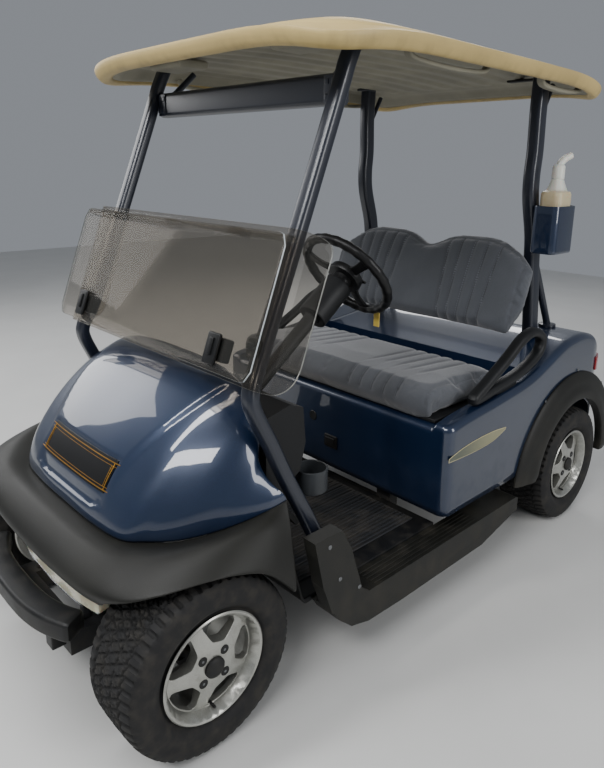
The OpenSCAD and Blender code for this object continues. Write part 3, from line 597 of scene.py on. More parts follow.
def finish_paint():
    """Metallic blue lacquer: fine flake specks, a slow drift of tone and a faint orange-peel coat."""
    f = Finish("body_paint", Metallic=0.35, Coat_Weight=1.0, Coat_Roughness=0.035, Coat_IOR=1.55)
    base = colour("body")
    flake = f.cells(900.0).rise(0.25, 0.75)
    drift = f.noise(2.2, 2.0)
    shade = f.blend(drift.rise(0.35, 0.7), darker(base, 0.8), darker(base, 1.2))
    f.link(Base_Color=f.blend(flake * 0.35, shade, darker(base, 2.1)))
    dust = f.z.rise(0.62, 0.3) * f.noise(9.0, 4.0).rise(0.42, 0.72)
    return f.link(Roughness=0.3 + flake * 0.12 + dust * 0.25).bump(f.noise(240.0, 1.0), 0.05, 0.2)


def textured_plastic(name, base, rough, grain=420.0, depth=0.35):
    """Moulded plastic: a pebbled grain, tone that drifts with weathering, and pale dust low down."""
    f = Finish(name, Specular_IOR_Level=0.3)
    pebble = f.cells(grain)
    age = f.noise(5.0, 5.0).rise(0.35, 0.7)
    dust = f.z.rise(0.55, 0.15) * f.noise(16.0, 5.0).rise(0.4, 0.75)
    shade = f.blend(age, darker(base, 0.82), darker(base, 1.22))
    f.link(Base_Color=f.blend(dust * 0.2, shade, tone("5a554b")))
    f.link(Roughness=rough + age * 0.08 + dust * 0.18 - pebble.rise(0.2, 0.7) * 0.05)
    return f.bump(pebble + 0.5 * f.noise(grain * 1.7, 2.0), depth, 0.35)


def finish_skirt():
    return textured_plastic("skirt_plastic", colour("trim"), 0.5)


def finish_flare():
    return textured_plastic("flare_plastic", darker(colour("trim"), 0.9), 0.52)


def finish_bumper():
    return textured_plastic("bumper_plastic", tone("131415"), 0.42, 520.0, 0.25)


def finish_dash():
    return textured_plastic("dash_plastic", tone("111214"), 0.5, 600.0, 0.3)


def finish_arm():
    return textured_plastic("armrest_plastic", tone("141517"), 0.46, 700.0, 0.22)


def finish_grip():
    return textured_plastic("wheel_grip", tone("121213"), 0.38, 850.0, 0.3)


def finish_cup():
    return textured_plastic("cup_plastic", tone("3a3d40"), 0.4, 700.0, 0.15)


def finish_battery():
    return textured_plastic("battery_case", tone("222428"), 0.55)


def finish_strut():
    """Dark navy powder coat: a satin skin with fine orange peel and a few paler rubs."""
    f = Finish("strut_paint", Metallic=0.1, Coat_Weight=0.35, Coat_Roughness=0.18)
    rub = f.noise(14.0, 6.0, 0.7).rise(0.62, 0.8)
    f.link(Base_Color=f.blend(rub * 0.3, colour("struts"), tone("3a4250")), Roughness=0.36 + rub * 0.2)
    return f.bump(f.noise(330.0, 2.0), 0.12, 0.25)


def finish_frame():
    """Black chassis paint with road dust and rust blooming through at places."""
    f = Finish("frame_paint", Specular_IOR_Level=0.4)
    dust = f.noise(11.0, 6.0).rise(0.42, 0.75)
    rust = f.noise(23.0, 7.0, 0.7).rise(0.63, 0.78)
    shade = f.blend(dust * 0.45, tone("202123"), tone("5d564b"))
    f.link(Base_Color=f.blend(rust * 0.55, shade, tone("5a3320")), Roughness=0.55 + dust * 0.3)
    return f.bump(f.noise(160.0, 4.0) + rust, 0.3, 0.5)


def finish_steel():
    """Bare machined steel with fine turning lines and grease stains."""
    f = Finish("bare_steel", Metallic=1.0)
    lines = f.noise(90.0, 3.0, place=f.stretched(14.0, 1.0, 1.0))
    grease = f.noise(18.0, 4.0).rise(0.45, 0.7)
    f.link(Base_Color=f.blend(grease * 0.6, tone("8f9296"), tone("3d3a36")))
    return f.link(Roughness=0.3 + lines * 0.25 + grease * 0.15).bump(lines, 0.15, 0.1)


def finish_alloy():
    """Silver painted alloy: a bright flake, brake dust in random patches, and a thin clear coat."""
    f = Finish("rim_silver", Metallic=0.75, Coat_Weight=0.5, Coat_Roughness=0.12)
    flake = f.cells(1100.0).rise(0.2, 0.8)
    dust = f.noise(22.0, 5.0).rise(0.45, 0.8)
    f.link(Base_Color=f.blend(dust * 0.35, f.blend(flake, tone("96968f"), tone("b4b4ae")), tone("5f5b54")))
    return f.link(Roughness=0.3 + dust * 0.2 + flake * 0.06).bump(f.noise(260.0, 2.0), 0.08, 0.2)


def finish_rubber():
    """Tyre rubber: grey-black with random dusty patches, painted shade (near-black) down in the tread's grooves, and a
    fine matt grain.
    """
    f = Finish("tyre_rubber", Specular_IOR_Level=0.35)
    depth = f.held("groove")
    dust = f.noise(30.0, 6.0).rise(0.38, 0.75)
    shade = f.blend(dust * 0.6, tone("161617"), tone("3b3833"))
    # painted shade: the grooves, by their held depth, are blended towards near-black
    f.link(Base_Color=f.blend(depth * 0.75, shade, tone("0b0b0b")), Roughness=0.72 + dust * 0.15)
    return f.bump(f.noise(700.0, 3.0), 0.25, 0.3)


def finish_cloth():
    """Grey-blue woven cover: two crossed thread waves, a heathered tone, painted shade in the sewn channels, pale
    stitches.
    """
    f = Finish("seat_cover", Sheen_Weight=0.35, Sheen_Roughness=0.5, Specular_IOR_Level=0.25)
    warp, weft = f.x.wave(0.0026), (f.y + f.z * 0.9).wave(0.0026)
    weave = warp * weft
    heather = f.noise(420.0, 2.0).rise(0.3, 0.7)
    wear = f.noise(6.0, 4.0).rise(0.4, 0.72)
    base = colour("seat")
    shade = f.blend(heather * 0.5, darker(base, 0.82), darker(base, 1.2))
    shade = f.blend(wear * 0.4, shade, darker(base, 1.35))
    across, along = f.held("seam_gap"), f.held("seam_run")
    valley = across.rise(0.010, 0.0)
    stitch = (abs(across - 0.0042)).rise(0.0009, 0.0004) * along.wave(0.0085).rise(0.3, 0.42)
    # painted shade: the cover darkens within 10 mm of a seam, down in the pressed channels
    shade = f.blend(valley * 0.55, shade, darker(base, 0.32))
    f.link(Base_Color=f.blend(stitch * 0.7, shade, darker(base, 1.9)))
    f.link(Roughness=0.74 + weave * 0.12 - valley * 0.05)
    return f.bump(weave * 0.8 + heather * 0.4 + stitch * 0.6, 0.55, 0.45)


def finish_board():
    """Black seat board: a coarse moulded grain with pale scuffs."""
    return textured_plastic("seat_board", tone("17181a"), 0.6, 300.0, 0.5)


def finish_canopy():
    """Beige roof moulding: soft sun-bleached tone, fine grain, grime gathered at the lower edge."""
    f = Finish("canopy_shell", Specular_IOR_Level=0.45, Coat_Weight=0.12, Coat_Roughness=0.3)
    base = colour("canopy")
    age = f.noise(3.0, 5.0).rise(0.3, 0.7)
    grime = f.z.rise(1.665, 1.63) * f.noise(20.0, 5.0, place=f.stretched(1.0, 1.0, 0.2)).rise(0.4, 0.7)
    shade = f.blend(age, darker(base, 0.9), darker(base, 1.1))
    f.link(Base_Color=f.blend(grime * 0.35, shade, darker(base, 0.45)), Roughness=0.5 + age * 0.1)
    return f.bump(f.cells(380.0), 0.18, 0.3)


def finish_liner():
    """Grey-beige underside of the roof: a matt moulded skin with a slow random drift of tone."""
    f = Finish("canopy_liner", Specular_IOR_Level=0.3)
    base = colour("liner")
    age = f.noise(7.0, 5.0).rise(0.35, 0.7)
    f.link(Base_Color=f.blend(age, darker(base, 0.86), darker(base, 1.1)), Roughness=0.6 + age * 0.12)
    return f.bump(f.cells(420.0), 0.2, 0.3)


def finish_lens():
    """Cream frosted lens: fine upright flutes under a glossy skin, cloudy patches."""
    skin = {"Coat_Weight": 1.0, "Coat_Roughness": 0.05, "Specular_IOR_Level": 0.6}
    f = Finish("headlight_lens", Subsurface_Weight=0.2, **skin)
    flutes = f.x.wave(0.011)
    cloud = f.noise(13.0, 4.0).rise(0.35, 0.7)
    f.link(Base_Color=f.blend(cloud * 0.6, tone("e6e0c6"), tone("cdc6a6")), Roughness=0.2 + cloud * 0.2)
    return f.bump(flutes, 0.35, 0.8)


def finish_red_lens():
    """Red lamp lens: a grid of small prisms under a clear skin, with a faint painted glow that is brighter on the
    prisms.
    """
    f = Finish("tail_lens", Coat_Weight=1.0, Coat_Roughness=0.04, Emission_Strength=0.12)
    prism = (f.x + f.y).wave(0.006) * f.z.wave(0.006)
    f.link(Base_Color=f.blend(prism, tone("6d0509"), tone("c4161c")), Roughness=0.12 + prism * 0.15)
    # painted glow: the lens gives off a little light of its own, brighter on the prisms
    f.link(Emission_Color=f.blend(prism, tone("300204"), tone("a00a10")))
    return f.bump(prism, 0.5, 0.8)


def see_through(name, tint, haze, least, most):
    """Clear sheet: light passes with a tint, a glossy skin shows more at a glancing look; fine scuffs."""
    f = Finish(name, Specular_IOR_Level=0.5)
    scuff = f.noise(60.0, 6.0, 0.75).rise(0.6, 0.85)
    f.link(Base_Color=f.blend(scuff, haze, darker(haze, 1.4)), Roughness=0.04 + scuff * 0.12)
    through = f.add("ShaderNodeBsdfTransparent", {}, {"Color": tint})
    glance = f.read("ShaderNodeLayerWeight", {}, {"Blend": 0.35})
    share = least + glance * (most - least) + scuff * 0.02
    mixed = f.add("ShaderNodeMixShader", {}, {0: share, 1: through.outputs[0], 2: f.shader.outputs[0]})
    f.tree.links.new(mixed.outputs[0], f.tree.nodes["Material Output"].inputs[0])
    return f


def finish_pane():
    return see_through("clear_pane", (0.9, 0.875, 0.84, 1), tone("4a4c4c"), 0.04, 0.3)


def finish_pane_edge():
    """Polished edge of a clear sheet: a painted highlight, pale and slightly blue, for the light that the edge
    gathers.
    """
    f = Finish("pane_edge", Coat_Weight=1.0)
    glow = f.noise(40.0, 3.0)
    # painted highlight: the edge's pale tones stand in for the light it gathers
    return f.link(Base_Color=f.blend(glow, tone("9aa3a8"), tone("d2d8da")), Roughness=0.15 + glow * 0.1)


def finish_mat():
    """Black rubber floor mat: raised front-to-back ridges in the shading, painted shade in the hollows between them,
    and worn, dusty patches at random.
    """
    f = Finish("floor_mat", Specular_IOR_Level=0.35)
    ridge = f.x.wave(0.016).rise(0.3, 0.7)
    dirt = f.noise(10.0, 6.0).rise(0.4, 0.72)
    # painted shade: darker in the hollows between the ridges and lighter on their tops
    f.link(Base_Color=f.blend(dirt * 0.5, f.blend(ridge, tone("121314"), tone("24262a")), tone("4f4a43")))
    return f.link(Roughness=0.66 + dirt * 0.2).bump(ridge + 0.2 * f.noise(300.0, 2.0), 0.6, 1.5)


def finish_chrome():
    """Bright plated strip with fine wipe marks."""
    f = Finish("bright_trim", Metallic=1.0)
    wipe = f.noise(50.0, 4.0, place=f.stretched(0.1, 1.0, 1.0))
    return f.link(Base_Color=f.blend(wipe, tone("c9cccf"), tone("9da1a5")), Roughness=0.1 + wipe * 0.15)


def finish_bolt():
    """Zinc-plated fastener: grey metal with dulled patches."""
    f = Finish("bolt_zinc", Metallic=0.9)
    dull = f.noise(120.0, 4.0)
    return f.link(Base_Color=f.blend(dull, tone("8b8d8f"), tone("4c4d4f")), Roughness=0.35 + dull * 0.25)


def finish_hole():
    """Near-black with a soft dusty grain: painted shade in the rims' nut wells and the roof's slot, and the black of
    the hood's gasket and the valve stems.
    """
    f = Finish("recess_black")
    grain = f.noise(200.0, 3.0)
    return f.link(Base_Color=f.blend(grain, tone("060606"), tone("141414")), Roughness=0.7 + grain * 0.1)


def finish_plate():
    """Gloss black badge field with a faint sparkle."""
    f = Finish("badge_black", Coat_Weight=0.1, Coat_Roughness=0.25, Specular_IOR_Level=0.25)
    fleck = f.cells(700.0)
    return f.link(Base_Color=f.blend(fleck * 0.3, tone("050506"), tone("101113")), Roughness=0.42 + fleck * 0.1)


def finish_gold():
    """Gold badge line: brushed along its length."""
    f = Finish("badge_gold", Metallic=0.8)
    brush = f.noise(300.0, 2.0, place=f.stretched(0.1, 1.0, 1.0))
    return f.link(Base_Color=f.blend(brush, tone("c8963e"), tone("8a6222")), Roughness=0.3 + brush * 0.15)


def finish_stripe():
    """Side stripe film: dark olive, fading paler along its length, with a thin beige border."""
    f = Finish("side_stripe", Coat_Weight=0.8, Coat_Roughness=0.1)
    shade = f.blend(f.held("run").rise(0.1, 0.8), tone("3f4532"), tone("7c7956"))
    f.link(Base_Color=f.blend(f.held("rim").rise(0.25, 0.6), shade, tone("b1a77f")))
    return f.link(Roughness=0.35 + f.noise(80.0, 3.0) * 0.15)


def finish_tag():
    """Yellow key tag: slightly mottled soft plastic."""
    f = Finish("key_tag")
    mottle = f.noise(90.0, 3.0)
    return f.link(Base_Color=f.blend(mottle, tone("c9a83a"), tone("e0c765")), Roughness=0.4 + mottle * 0.1)


def finish_bottle():
    """Milky bottle: the sand inside shows as a warm tone up to its level."""
    f = Finish("bottle_plastic", Subsurface_Weight=0.15, Specular_IOR_Level=0.5)
    sand = f.z.rise(1.3, 1.285) * (0.7 + 0.3 * f.noise(60.0, 5.0))
    f.link(Base_Color=f.blend(sand, tone("cfcfc6"), tone("b7a680")))
    return f.link(Roughness=0.35 + f.noise(30.0, 3.0) * 0.15)


def finish_knob():
    """Off-white moulded knob."""
    f = Finish("knob_white")
    mottle = f.noise(70.0, 3.0)
    return f.link(Base_Color=f.blend(mottle, tone("cfcdc6"), tone("b1afa8")), Roughness=0.35 + mottle * 0.1)


# ---------- front body ----------

SEAM = [(0, -985, 490), (150, -983, 490), (278, -967, 490), (335, -922, 491), (388, -868, 497),
        (434, -800, 512), (470, -735, 532), (492, -675, 550), (500, -628, 562)]
REAR_EDGE = [(0, -606, 846), (110, -607, 845), (215, -610, 838), (290, -614, 822), (345, -618, 796),
             (385, -624, 760), (410, -636, 714), (430, -662, 668), (458, -664, 628), (486, -648, 594)]
BELLY = [(0, -1100, 425), (150, -1098, 428), (330, -1088, 440), (440, -1048, 452), (505, -985, 472),
         (545, -900, 484), (562, -820, 476), (572, -740, 448), (580, -665, 380)]
LIP = [(0, -1050, 362), (150, -1050, 362), (300, -1046, 366), (372, -1052, 412), (460, -1008, 452),
       (528, -900, 480), (546, -815, 468), (556, -738, 430), (566, -662, 350)]


def along(half, s):
    """The whole line of a half line, at shares s of its length in points."""
    p = both_sides(half)
    return curve_at(p, np.clip(s, 0, 1) * (len(p) - 1))


def hood_surface(s, t):
    """The hood: straight lines from the seam to the rear edge, lifted outwards by 68 mm x (4t(1 - t))^0.75, with
    a low step outside each crease line and a flat shallow bed in front for the badge."""
    a, b = along(SEAM, s), along(REAR_EDGE, s)
    out = unit(np.stack([a[..., 0] * 0.9, a[..., 1] + 640, np.full(a.shape[:-1], 330.0)], -1))
    lift = 68 * (4 * t * (1 - t)) ** 0.75 * np.linalg.norm(a - b, axis=-1) / 480
    p = a + (b - a) * t[..., None] + out * lift[..., None]
    x = np.abs(p[..., 0])
    crease = 196 + 96 * smooth(p[..., 2], 600, 850)
    fade = smooth(p[..., 2], 560, 640) * (1 - smooth(t, 0.86, 1.0))
    step = 5.5 * smooth(x, crease - 5, crease + 16) * fade * (1 - 0.75 * smooth(x, crease + 30, crease + 170))
    bed = 4.5 * (1 - smooth(x, 186, 194)) * smooth(p[..., 2], 536, 544) * (1 - smooth(p[..., 2], 646, 654))
    facet = 7 * np.clip((569 - p[..., 2]) / 32, 0, 1) * (1 - smooth(p[..., 2], 534, 528))
    facet = facet * (1 - smooth(x - (p[..., 2] - 536) * 0.8, 150, 158))
    return p - out * (step + bed + facet)[..., None]


def skirt_surface(s, t):
    """The front skirt: a curve from the lip over the fullest line and a crown to the hood's seam."""
    lip, belly, seam = along(LIP, s), along(BELLY, s), along(SEAM, s)
    crown = (belly + seam) / 2 + [0, 0, 26]
    top = seam - [0, 0, 0.9]
    lines = np.stack([lip, belly, crown, top])
    k = t * 3
    i = np.clip(np.floor(k).astype(int), 0, 2)
    f = (k - i)[..., None]
    pick = lambda n: np.take_along_axis(lines, np.clip(n, 0, 3)[None, ..., None], 0)[0]
    a, b, c, d = pick(i - 1), pick(i), pick(i + 1), pick(i + 2)
    return cubic(a, b, c, d, f) - [0, 0, 0.3]


def shares(rows, cols):
    """Even shares from 0 to 1: s along the columns and t along the rows."""
    s, t = np.meshgrid(np.linspace(0, 1, cols), np.linspace(0, 1, rows))
    return s, t


def plate_at(x, z):
    """The hood's front as a height field: y as a low polynomial in x and z, fitted to the hood's own points."""
    p = hood_surface(*shares(80, 160)).reshape(-1, 3)
    p = p[(np.abs(p[:, 0]) < 186) & (p[:, 2] > 548) & (p[:, 2] < 650)]
    terms = lambda u, v: np.stack([np.ones_like(u), u**2, v, v**2, u**2 * v, u**4], -1)
    fit = np.linalg.lstsq(terms(p[:, 0] / 200, p[:, 2] / 600), p[:, 1], rcond=None)[0]
    return terms(x / 200, z / 600) @ fit


def build_hood():
    """The hood's surface with a wall's thickness, and a dark gasket under its front seam."""
    s, t = shares(110, 190)
    hood = Shell().grid(hood_surface(s, t))
    wall(piece("hood", hood, finish("paint"), slot="body_blue", closed=False, replaces=("front_cowl",)), 5)
    seam = hood_surface(s[:1], t[:1])[0]
    gasket = Shell().sweep(seam + [0, 0, -3.5], circle(2.4, 8), side=(0, 0, 1))
    piece("hood_gasket", gasket, finish("hole"))


def build_badge():
    """The blank badge: a thin plate that lies 3 mm off the hood, with two gold lines round its edge."""
    width, low, high = 364, 571, 643
    u, v = shares(16, 60)
    x, z = (u - 0.5) * width, low + v * (high - low)
    y = plate_at(x, z)
    front = np.stack([x, y - 3.5, z], -1)
    back = np.stack([x, y + 2.0, z], -1)
    plate = Shell().grid(front).grid(back, flip=True)
    plate.grid(np.stack([border(back), border(front)]), around=True)
    piece("badge_plate", plate, finish("plate"))
    lines = Shell()
    middle = (low + high) / 2
    for inset, size in ((6, 1.5), (13, 0.8)):
        loop = oblong(width - 2 * inset, high - low - 2 * inset, 4, 4)
        dense = curve(np.concatenate([loop, loop[:1]]), 240)[:-1]
        level = dense[:, 1] + middle
        path = np.stack([dense[:, 0], plate_at(dense[:, 0], level) - 3.9, level], -1)
        lines.sweep(path, circle(size, 6), side=(0, 1, 0.01), closed=True)
    piece("badge_lines", lines, finish("gold"))


def build_skirt():
    """The skirt's surface with a wall's thickness, and a rolled hem along its lip."""
    s, t = shares(44, 180)
    skirt = Shell().grid(skirt_surface(s, t))
    wall(piece("skirt", skirt, finish("skirt"), slot="trim_grey", closed=False, replaces=("front_skirt",)), 5)
    lip = skirt_surface(s[:1], t[:1])[0]
    hem = Shell().sweep(lip + [0, 4, 3], circle(4, 10), side=(0, 1, 0))
    piece("skirt_hem", hem, finish("skirt"), slot="trim_grey")


def bow(width, middle, end, count=60):
    """A line across the cart that bows forward: y = middle + (end - middle) |x / width|^3."""
    u = np.linspace(-1, 1, count)
    return np.stack([u * width, middle + (end - middle) * np.abs(u) ** 3, np.zeros(count)], -1)


def rounded_ends(count, share=0.08):
    """1 along a bar and falling on a quarter circle to 0.35 at its ends."""
    u = np.abs(np.linspace(-1, 1, count))
    d = np.clip((u - (1 - share)) / share, 0, 1)
    return 0.35 + 0.65 * np.sqrt(1 - d**2)


def build_bumper():
    """The bumper: a rounded bar carried along a bow, with two legs under it."""
    path = bow(262, -1128, -1076, 90) + [0, 0, 295]
    bar = Shell().sweep(path, oblong(53, 66, 10, 6), (0, 0, 1), rounded_ends(90, 0.05))
    for x in (-170, 130):
        bar.box((x, -1110, 188), (x + 40, -1073, 275), 4)
    piece("front_bumper_body", bar, finish("bumper"), slot="bumper_black", replaces=("front_bumper",))


def build_headlights():
    """The headlight bar: a lens carried along a bow, its two legs and the bright strips below and above it."""
    path = bow(247, -1024.5, -997, 80) + [0, 0, 325.5]
    lens = Shell().sweep(path, oblong(76, 41, 7, 5), (0, 0, 1), rounded_ends(80, 0.05))
    piece("headlight_lens", lens, finish("lens"), slot="lens_clear", replaces=("headlight_bar",))
    rest = Shell()
    for x in (140, -160):
        rest.box((x, -1006, 321), (x + 20, -1001, 331), 1).box((x, -1022, 226), (x + 20, -1002, 331), 3)
    piece("headlight_legs", rest, finish("frame"))
    strip = Shell().sweep(bow(244, -1044.5, -1017, 80) + [0, 0, 292], oblong(6, 3, 1.4, 3), (0, 0, 1))
    strip.sweep(bow(244, -1044.0, -1016.5, 80) + [0, 0, 360], oblong(3, 2.4, 1.1, 3), (0, 0, 1))
    piece("headlight_strip", strip, finish("chrome"))


# ---------- rear body ----------

BODY_TOP = [(-24, 597), (40, 607), (110, 615), (286, 631), (480, 659), (688, 732), (770, 748), (847, 752),
            (905, 744), (961, 720), (1042, 634), (1088, 565), (1124, 475), (1131, 398)]
REAR_AXLE = mid("tyre_rear_left")
AXLE_Y, AXLE_Z, ARCH = REAR_AXLE[1], REAR_AXLE[2], 270.0
SHELF_Z, POCKET_X = 586.0, 500.5


def body_top(y):
    """The height of the body's upper surface over its length: a smooth curve through its profile."""
    dense = curve(BODY_TOP, 400)
    return np.interp(y, dense[:, 0], dense[:, 1])


def body_loop():
    """Half of the body's plan, from the middle of the front to the middle of the rear, as circle centres, outward
    directions and radii: a place inset by e is centre + direction x (radius - e)."""
    front = [(x, 10, 0, -1, 34) for x in np.concatenate([np.linspace(0, 480, 22), np.linspace(486, 526, 9)])]
    corner = [(526, 10, math.sin(a), -math.cos(a), 34) for a in np.radians(np.linspace(11, 90, 8))]
    side = [(526, y, 1, 0, 34) for y in np.linspace(24, 505, 40)]
    side += [(526, y, 1, 0, 34) for y in np.linspace(509, 529, 6)]
    arch = [(526, AXLE_Y - 262 * math.cos(a), 1, 0, 34) for a in np.linspace(0.03, 2.17, 46)]
    turn = np.concatenate([np.linspace(1, 34, 16), np.linspace(35.5, 38, 8), np.linspace(42, 90, 26)])
    arch = [a for a in arch if a[1] < 940]
    rear_corner = [(370, 941, math.cos(a), math.sin(a), 190) for a in np.radians(turn)]
    rear = [(x, 941, 0, 1, 190) for x in np.linspace(350, 0, 16)]
    plan = np.array(front + corner + side + arch + rear_corner + rear)
    return plan, len(front), len(front + corner + side)


def build_rear_body():
    """The lacquered rear body: a wall round its plan, a rounded shoulder, and a deck in to the seat pocket and the
    bag well, with the pocket's walls and its shelf."""
    plan, n_front, n_side = body_loop()
    n = len(plan)
    shoulder = size("shoulder")
    place = lambda e: plan[:, :2] + plan[:, 2:4] * (plan[:, 4:5] - e)
    outer = place(0)
    rim = lambda q: np.where(q[:, 1] < 18, smooth(q[:, 0], 489, 503), 1)
    top = lambda q: SHELF_Z + (body_top(q[:, 1]) - SHELF_Z) * rim(q)
    reach = np.clip(ARCH**2 - (outer[:, 1] - AXLE_Y) ** 2, 0, None)
    low = np.interp(outer[:, 1], [690, 700, 960, 1131], [296, 296, 330, 330])
    low = np.maximum(low, np.where(reach > 0, AXLE_Z + np.sqrt(reach), 0))
    start = place(shoulder)
    shoulder_z = top(start)
    rows = []
    for k in np.linspace(0, 1, 14):
        rows.append(np.column_stack([outer, low + (np.maximum(shoulder_z - shoulder, low + 1) - low) * k]))
    for a in np.radians(np.linspace(9, 90, 9)):
        rise = np.maximum(shoulder_z - shoulder * (1 - math.sin(a)), low + 2)
        rows.append(np.column_stack([place(shoulder * (1 - math.cos(a))), rise]))
    i_well, i_back = n_side + (n - n_side) * 45 // 100, n - 14
    keys = [0, n_front - 5, n_front + 4, n_side - 6, i_well, i_back, n - 1]
    inner = np.column_stack([
        np.interp(np.arange(n), keys, [0, POCKET_X, POCKET_X, POCKET_X, 330, 330, 0]),
        np.interp(np.arange(n), keys, [14, 14, 16, 505, 800, 1072, 1072]),
    ])
    inner[: n_front - 5, 0] = np.minimum(start[: n_front - 5, 0], POCKET_X)
    straight = (np.arange(n) >= n_front + 4) & (np.arange(n) <= n_side - 6)
    inner[straight, 1] = np.clip(start[straight, 1], 16, 505)
    for k in np.linspace(0.1, 1, 10):
        p = start + (inner - start) * k
        rows.append(np.column_stack([p, top(p)]))
    shell = Shell().grid(np.array(rows))
    side_rim = rows[-1][n_front - 10 : n_side - 5]
    side_foot = side_rim * [1, 1, 0] + [0, 0, SHELF_Z]
    shell.grid(np.stack([side_rim + (side_foot - side_rim) * k for k in np.linspace(0, 1, 4)]))
    y = np.linspace(505, 800, 14)
    half = np.interp(y, [505, 800], [POCKET_X, 330])
    u = np.linspace(1, 0, 24)
    deck = np.stack(np.broadcast_arrays(half[:, None] * u, y[:, None], body_top(y)[:, None]), -1)
    shell.grid(deck)
    lip = deck[0]
    shell.grid(np.stack([lip * [1, 1, 0] + [0, 0, z] for z in np.linspace(SHELF_Z, lip[0, 2], 4)]))
    ledge_x = (0, 250, POCKET_X, POCKET_X, POCKET_X, 250, 0)
    ledge_out = np.column_stack([ledge_x, (12, 12, 14, 200, 505, 505, 505), np.full(7, SHELF_Z)])
    ledge_in = np.column_stack([np.minimum(ledge_x, 470), (17, 17, 17, 200, 410, 410, 410), np.full(7, SHELF_Z)])
    shell.grid(np.stack([ledge_out + (ledge_in - ledge_out) * k for k in (0, 0.5, 1)]))
    shell.mirrored()
    wall(piece("rear_body_panels", shell, finish("paint"), slot="body_blue", replaces=("rear_body",)), 4)


def build_flares():
    """The wheel-opening flares: r = 273 + (122 - 18 sin a) u round the axle, swelling out as (1 - u)^0.6, with a
    rolled inner lip and a soft dip along the band."""
    rim, face, edge = 273, 566.3, 600
    a = np.radians(np.linspace(184, 4, 110))[None, :]
    u = np.linspace(0, 1, 26)[:, None]
    r = rim + (122 - 18 * np.sin(a)) * u
    swell = np.maximum(1 - u, 1e-6) ** 0.6 * (1 - 0.25 * (1 - u) ** 6) + 0 * a
    ends = smooth(np.abs(np.degrees(a) - 94), 90.5, 84) * 0.25 + 0.75
    x = face + (edge - face) * swell * ends - 2.2 * bell(u - 0.5, 0.16)
    at = lambda x, r, a: np.stack([x, AXLE_Y - r * np.cos(a), AXLE_Z + r * np.sin(a)], -1)
    outer = at(x, r, a)
    inner = outer.copy()
    inner[..., 0] = face - 6
    roll = np.stack([at(x[0] - 8 * k, rim - 2 * math.sin(math.pi * k / 2), a[0]) for k in (1, 0.66, 0.33)])
    grid = np.concatenate([inner[:1], roll, outer, inner[-1:]])
    flare = Shell().stack(np.swapaxes(grid, 0, 1)).mirrored()
    piece("flares", flare, finish("flare"), slot="trim_grey", replaces=("fender_flares",))
    bolts = Shell()
    for b in np.radians([20, 55, 94, 133, 168]):
        bolts.turned([(0, 0.1), (0, 5), (1.6, 5), (2.4, 3.2), (2.4, 0.1)], at(face - 2.8, 384, b), steps=12)
    piece("flare_bolts", bolts.mirrored(), finish("bolt"))


def build_sills():
    """The rocker panels with eased edges, their screws and the ridges that a foot meets."""
    softened("sills", finish("skirt"), 5, slot="trim_grey", steps=3)
    screws = Shell()
    for y, z in ((-444, 271), (-560, 440), (-520, 330)):
        screws.turned([(0, 0.1), (0, 6.5), (1.8, 6.2), (2.6, 4), (2.6, 0.1)], (587.4, y, z), steps=16)
    piece("sill_screws", screws.mirrored(), finish("bolt"))
    tread = Shell()
    for x in np.linspace(515, 572, 5):
        tread.box((x, -370, 238.2), (x + 5, 140, 240.6), 1, 2)
    piece("sill_tread", tread.mirrored(), finish("skirt"), slot="trim_grey")


def build_stripes():
    """The side stripes: a blade whose lower edge bows and whose tip sweeps up, laid 0.8 mm off the side panel."""
    t = shares(14, 90)[1]
    low = curve([(-20, 486), (60, 482), (150, 481), (235, 487), (306, 508)], 90)
    high = curve([(-20, 500), (60, 516), (150, 523), (235, 523), (309, 516)], 90)
    band = low[None] + (high - low)[None] * t[..., None]
    p = np.stack([np.full(t.shape, 561.0), band[..., 0], band[..., 1]], -1)
    shell = Shell().grid(p)
    thing = piece("side_stripes", shell.mirrored(), finish("stripe"), closed=False)
    q = points_of(thing.data)
    lower, upper = np.interp(q[:, 1], *low.T), np.interp(q[:, 1], *high.T)
    gap = np.minimum.reduce([q[:, 2] - lower, upper - q[:, 2], q[:, 1] + 20, 308 - q[:, 1]]) / 4
    hold(thing.data, "run", (q[:, 1] + 20) / 326)
    hold(thing.data, "rim", 1 - np.clip(gap, 0, 1))
    wall(thing, 0.6)


def build_pod_details():
    """The round latch and the charging socket on the front of the seat pod."""
    latch = Shell().turned([(-25.5, 0.1), (-26.5, 17), (-24, 19), (-23, 19)], (-43, 0, 468), "y", 40)
    piece("pod_latch", latch, finish("bumper"))
    socket = Shell().box((22, -30, 372), (86, -22, 420), 7).box((32, -33, 381), (76, -28, 411), 5)
    piece("charge_socket", socket, finish("dash"))


# ---------- seat ----------


def as_made(thing):
    """A new mesh of what the object looks like with its modifiers."""
    return bpy.data.meshes.new_from_object(thing.evaluated_get(bpy.context.evaluated_depsgraph_get()))


def even(thing, voxel):
    """Remeshes a pad in faces of one size."""
    grid = thing.modifiers.new("even", "REMESH")
    grid.mode, grid.voxel_size = "VOXEL", voxel * MM
    thing.data = as_made(thing)
    thing.modifiers.clear()


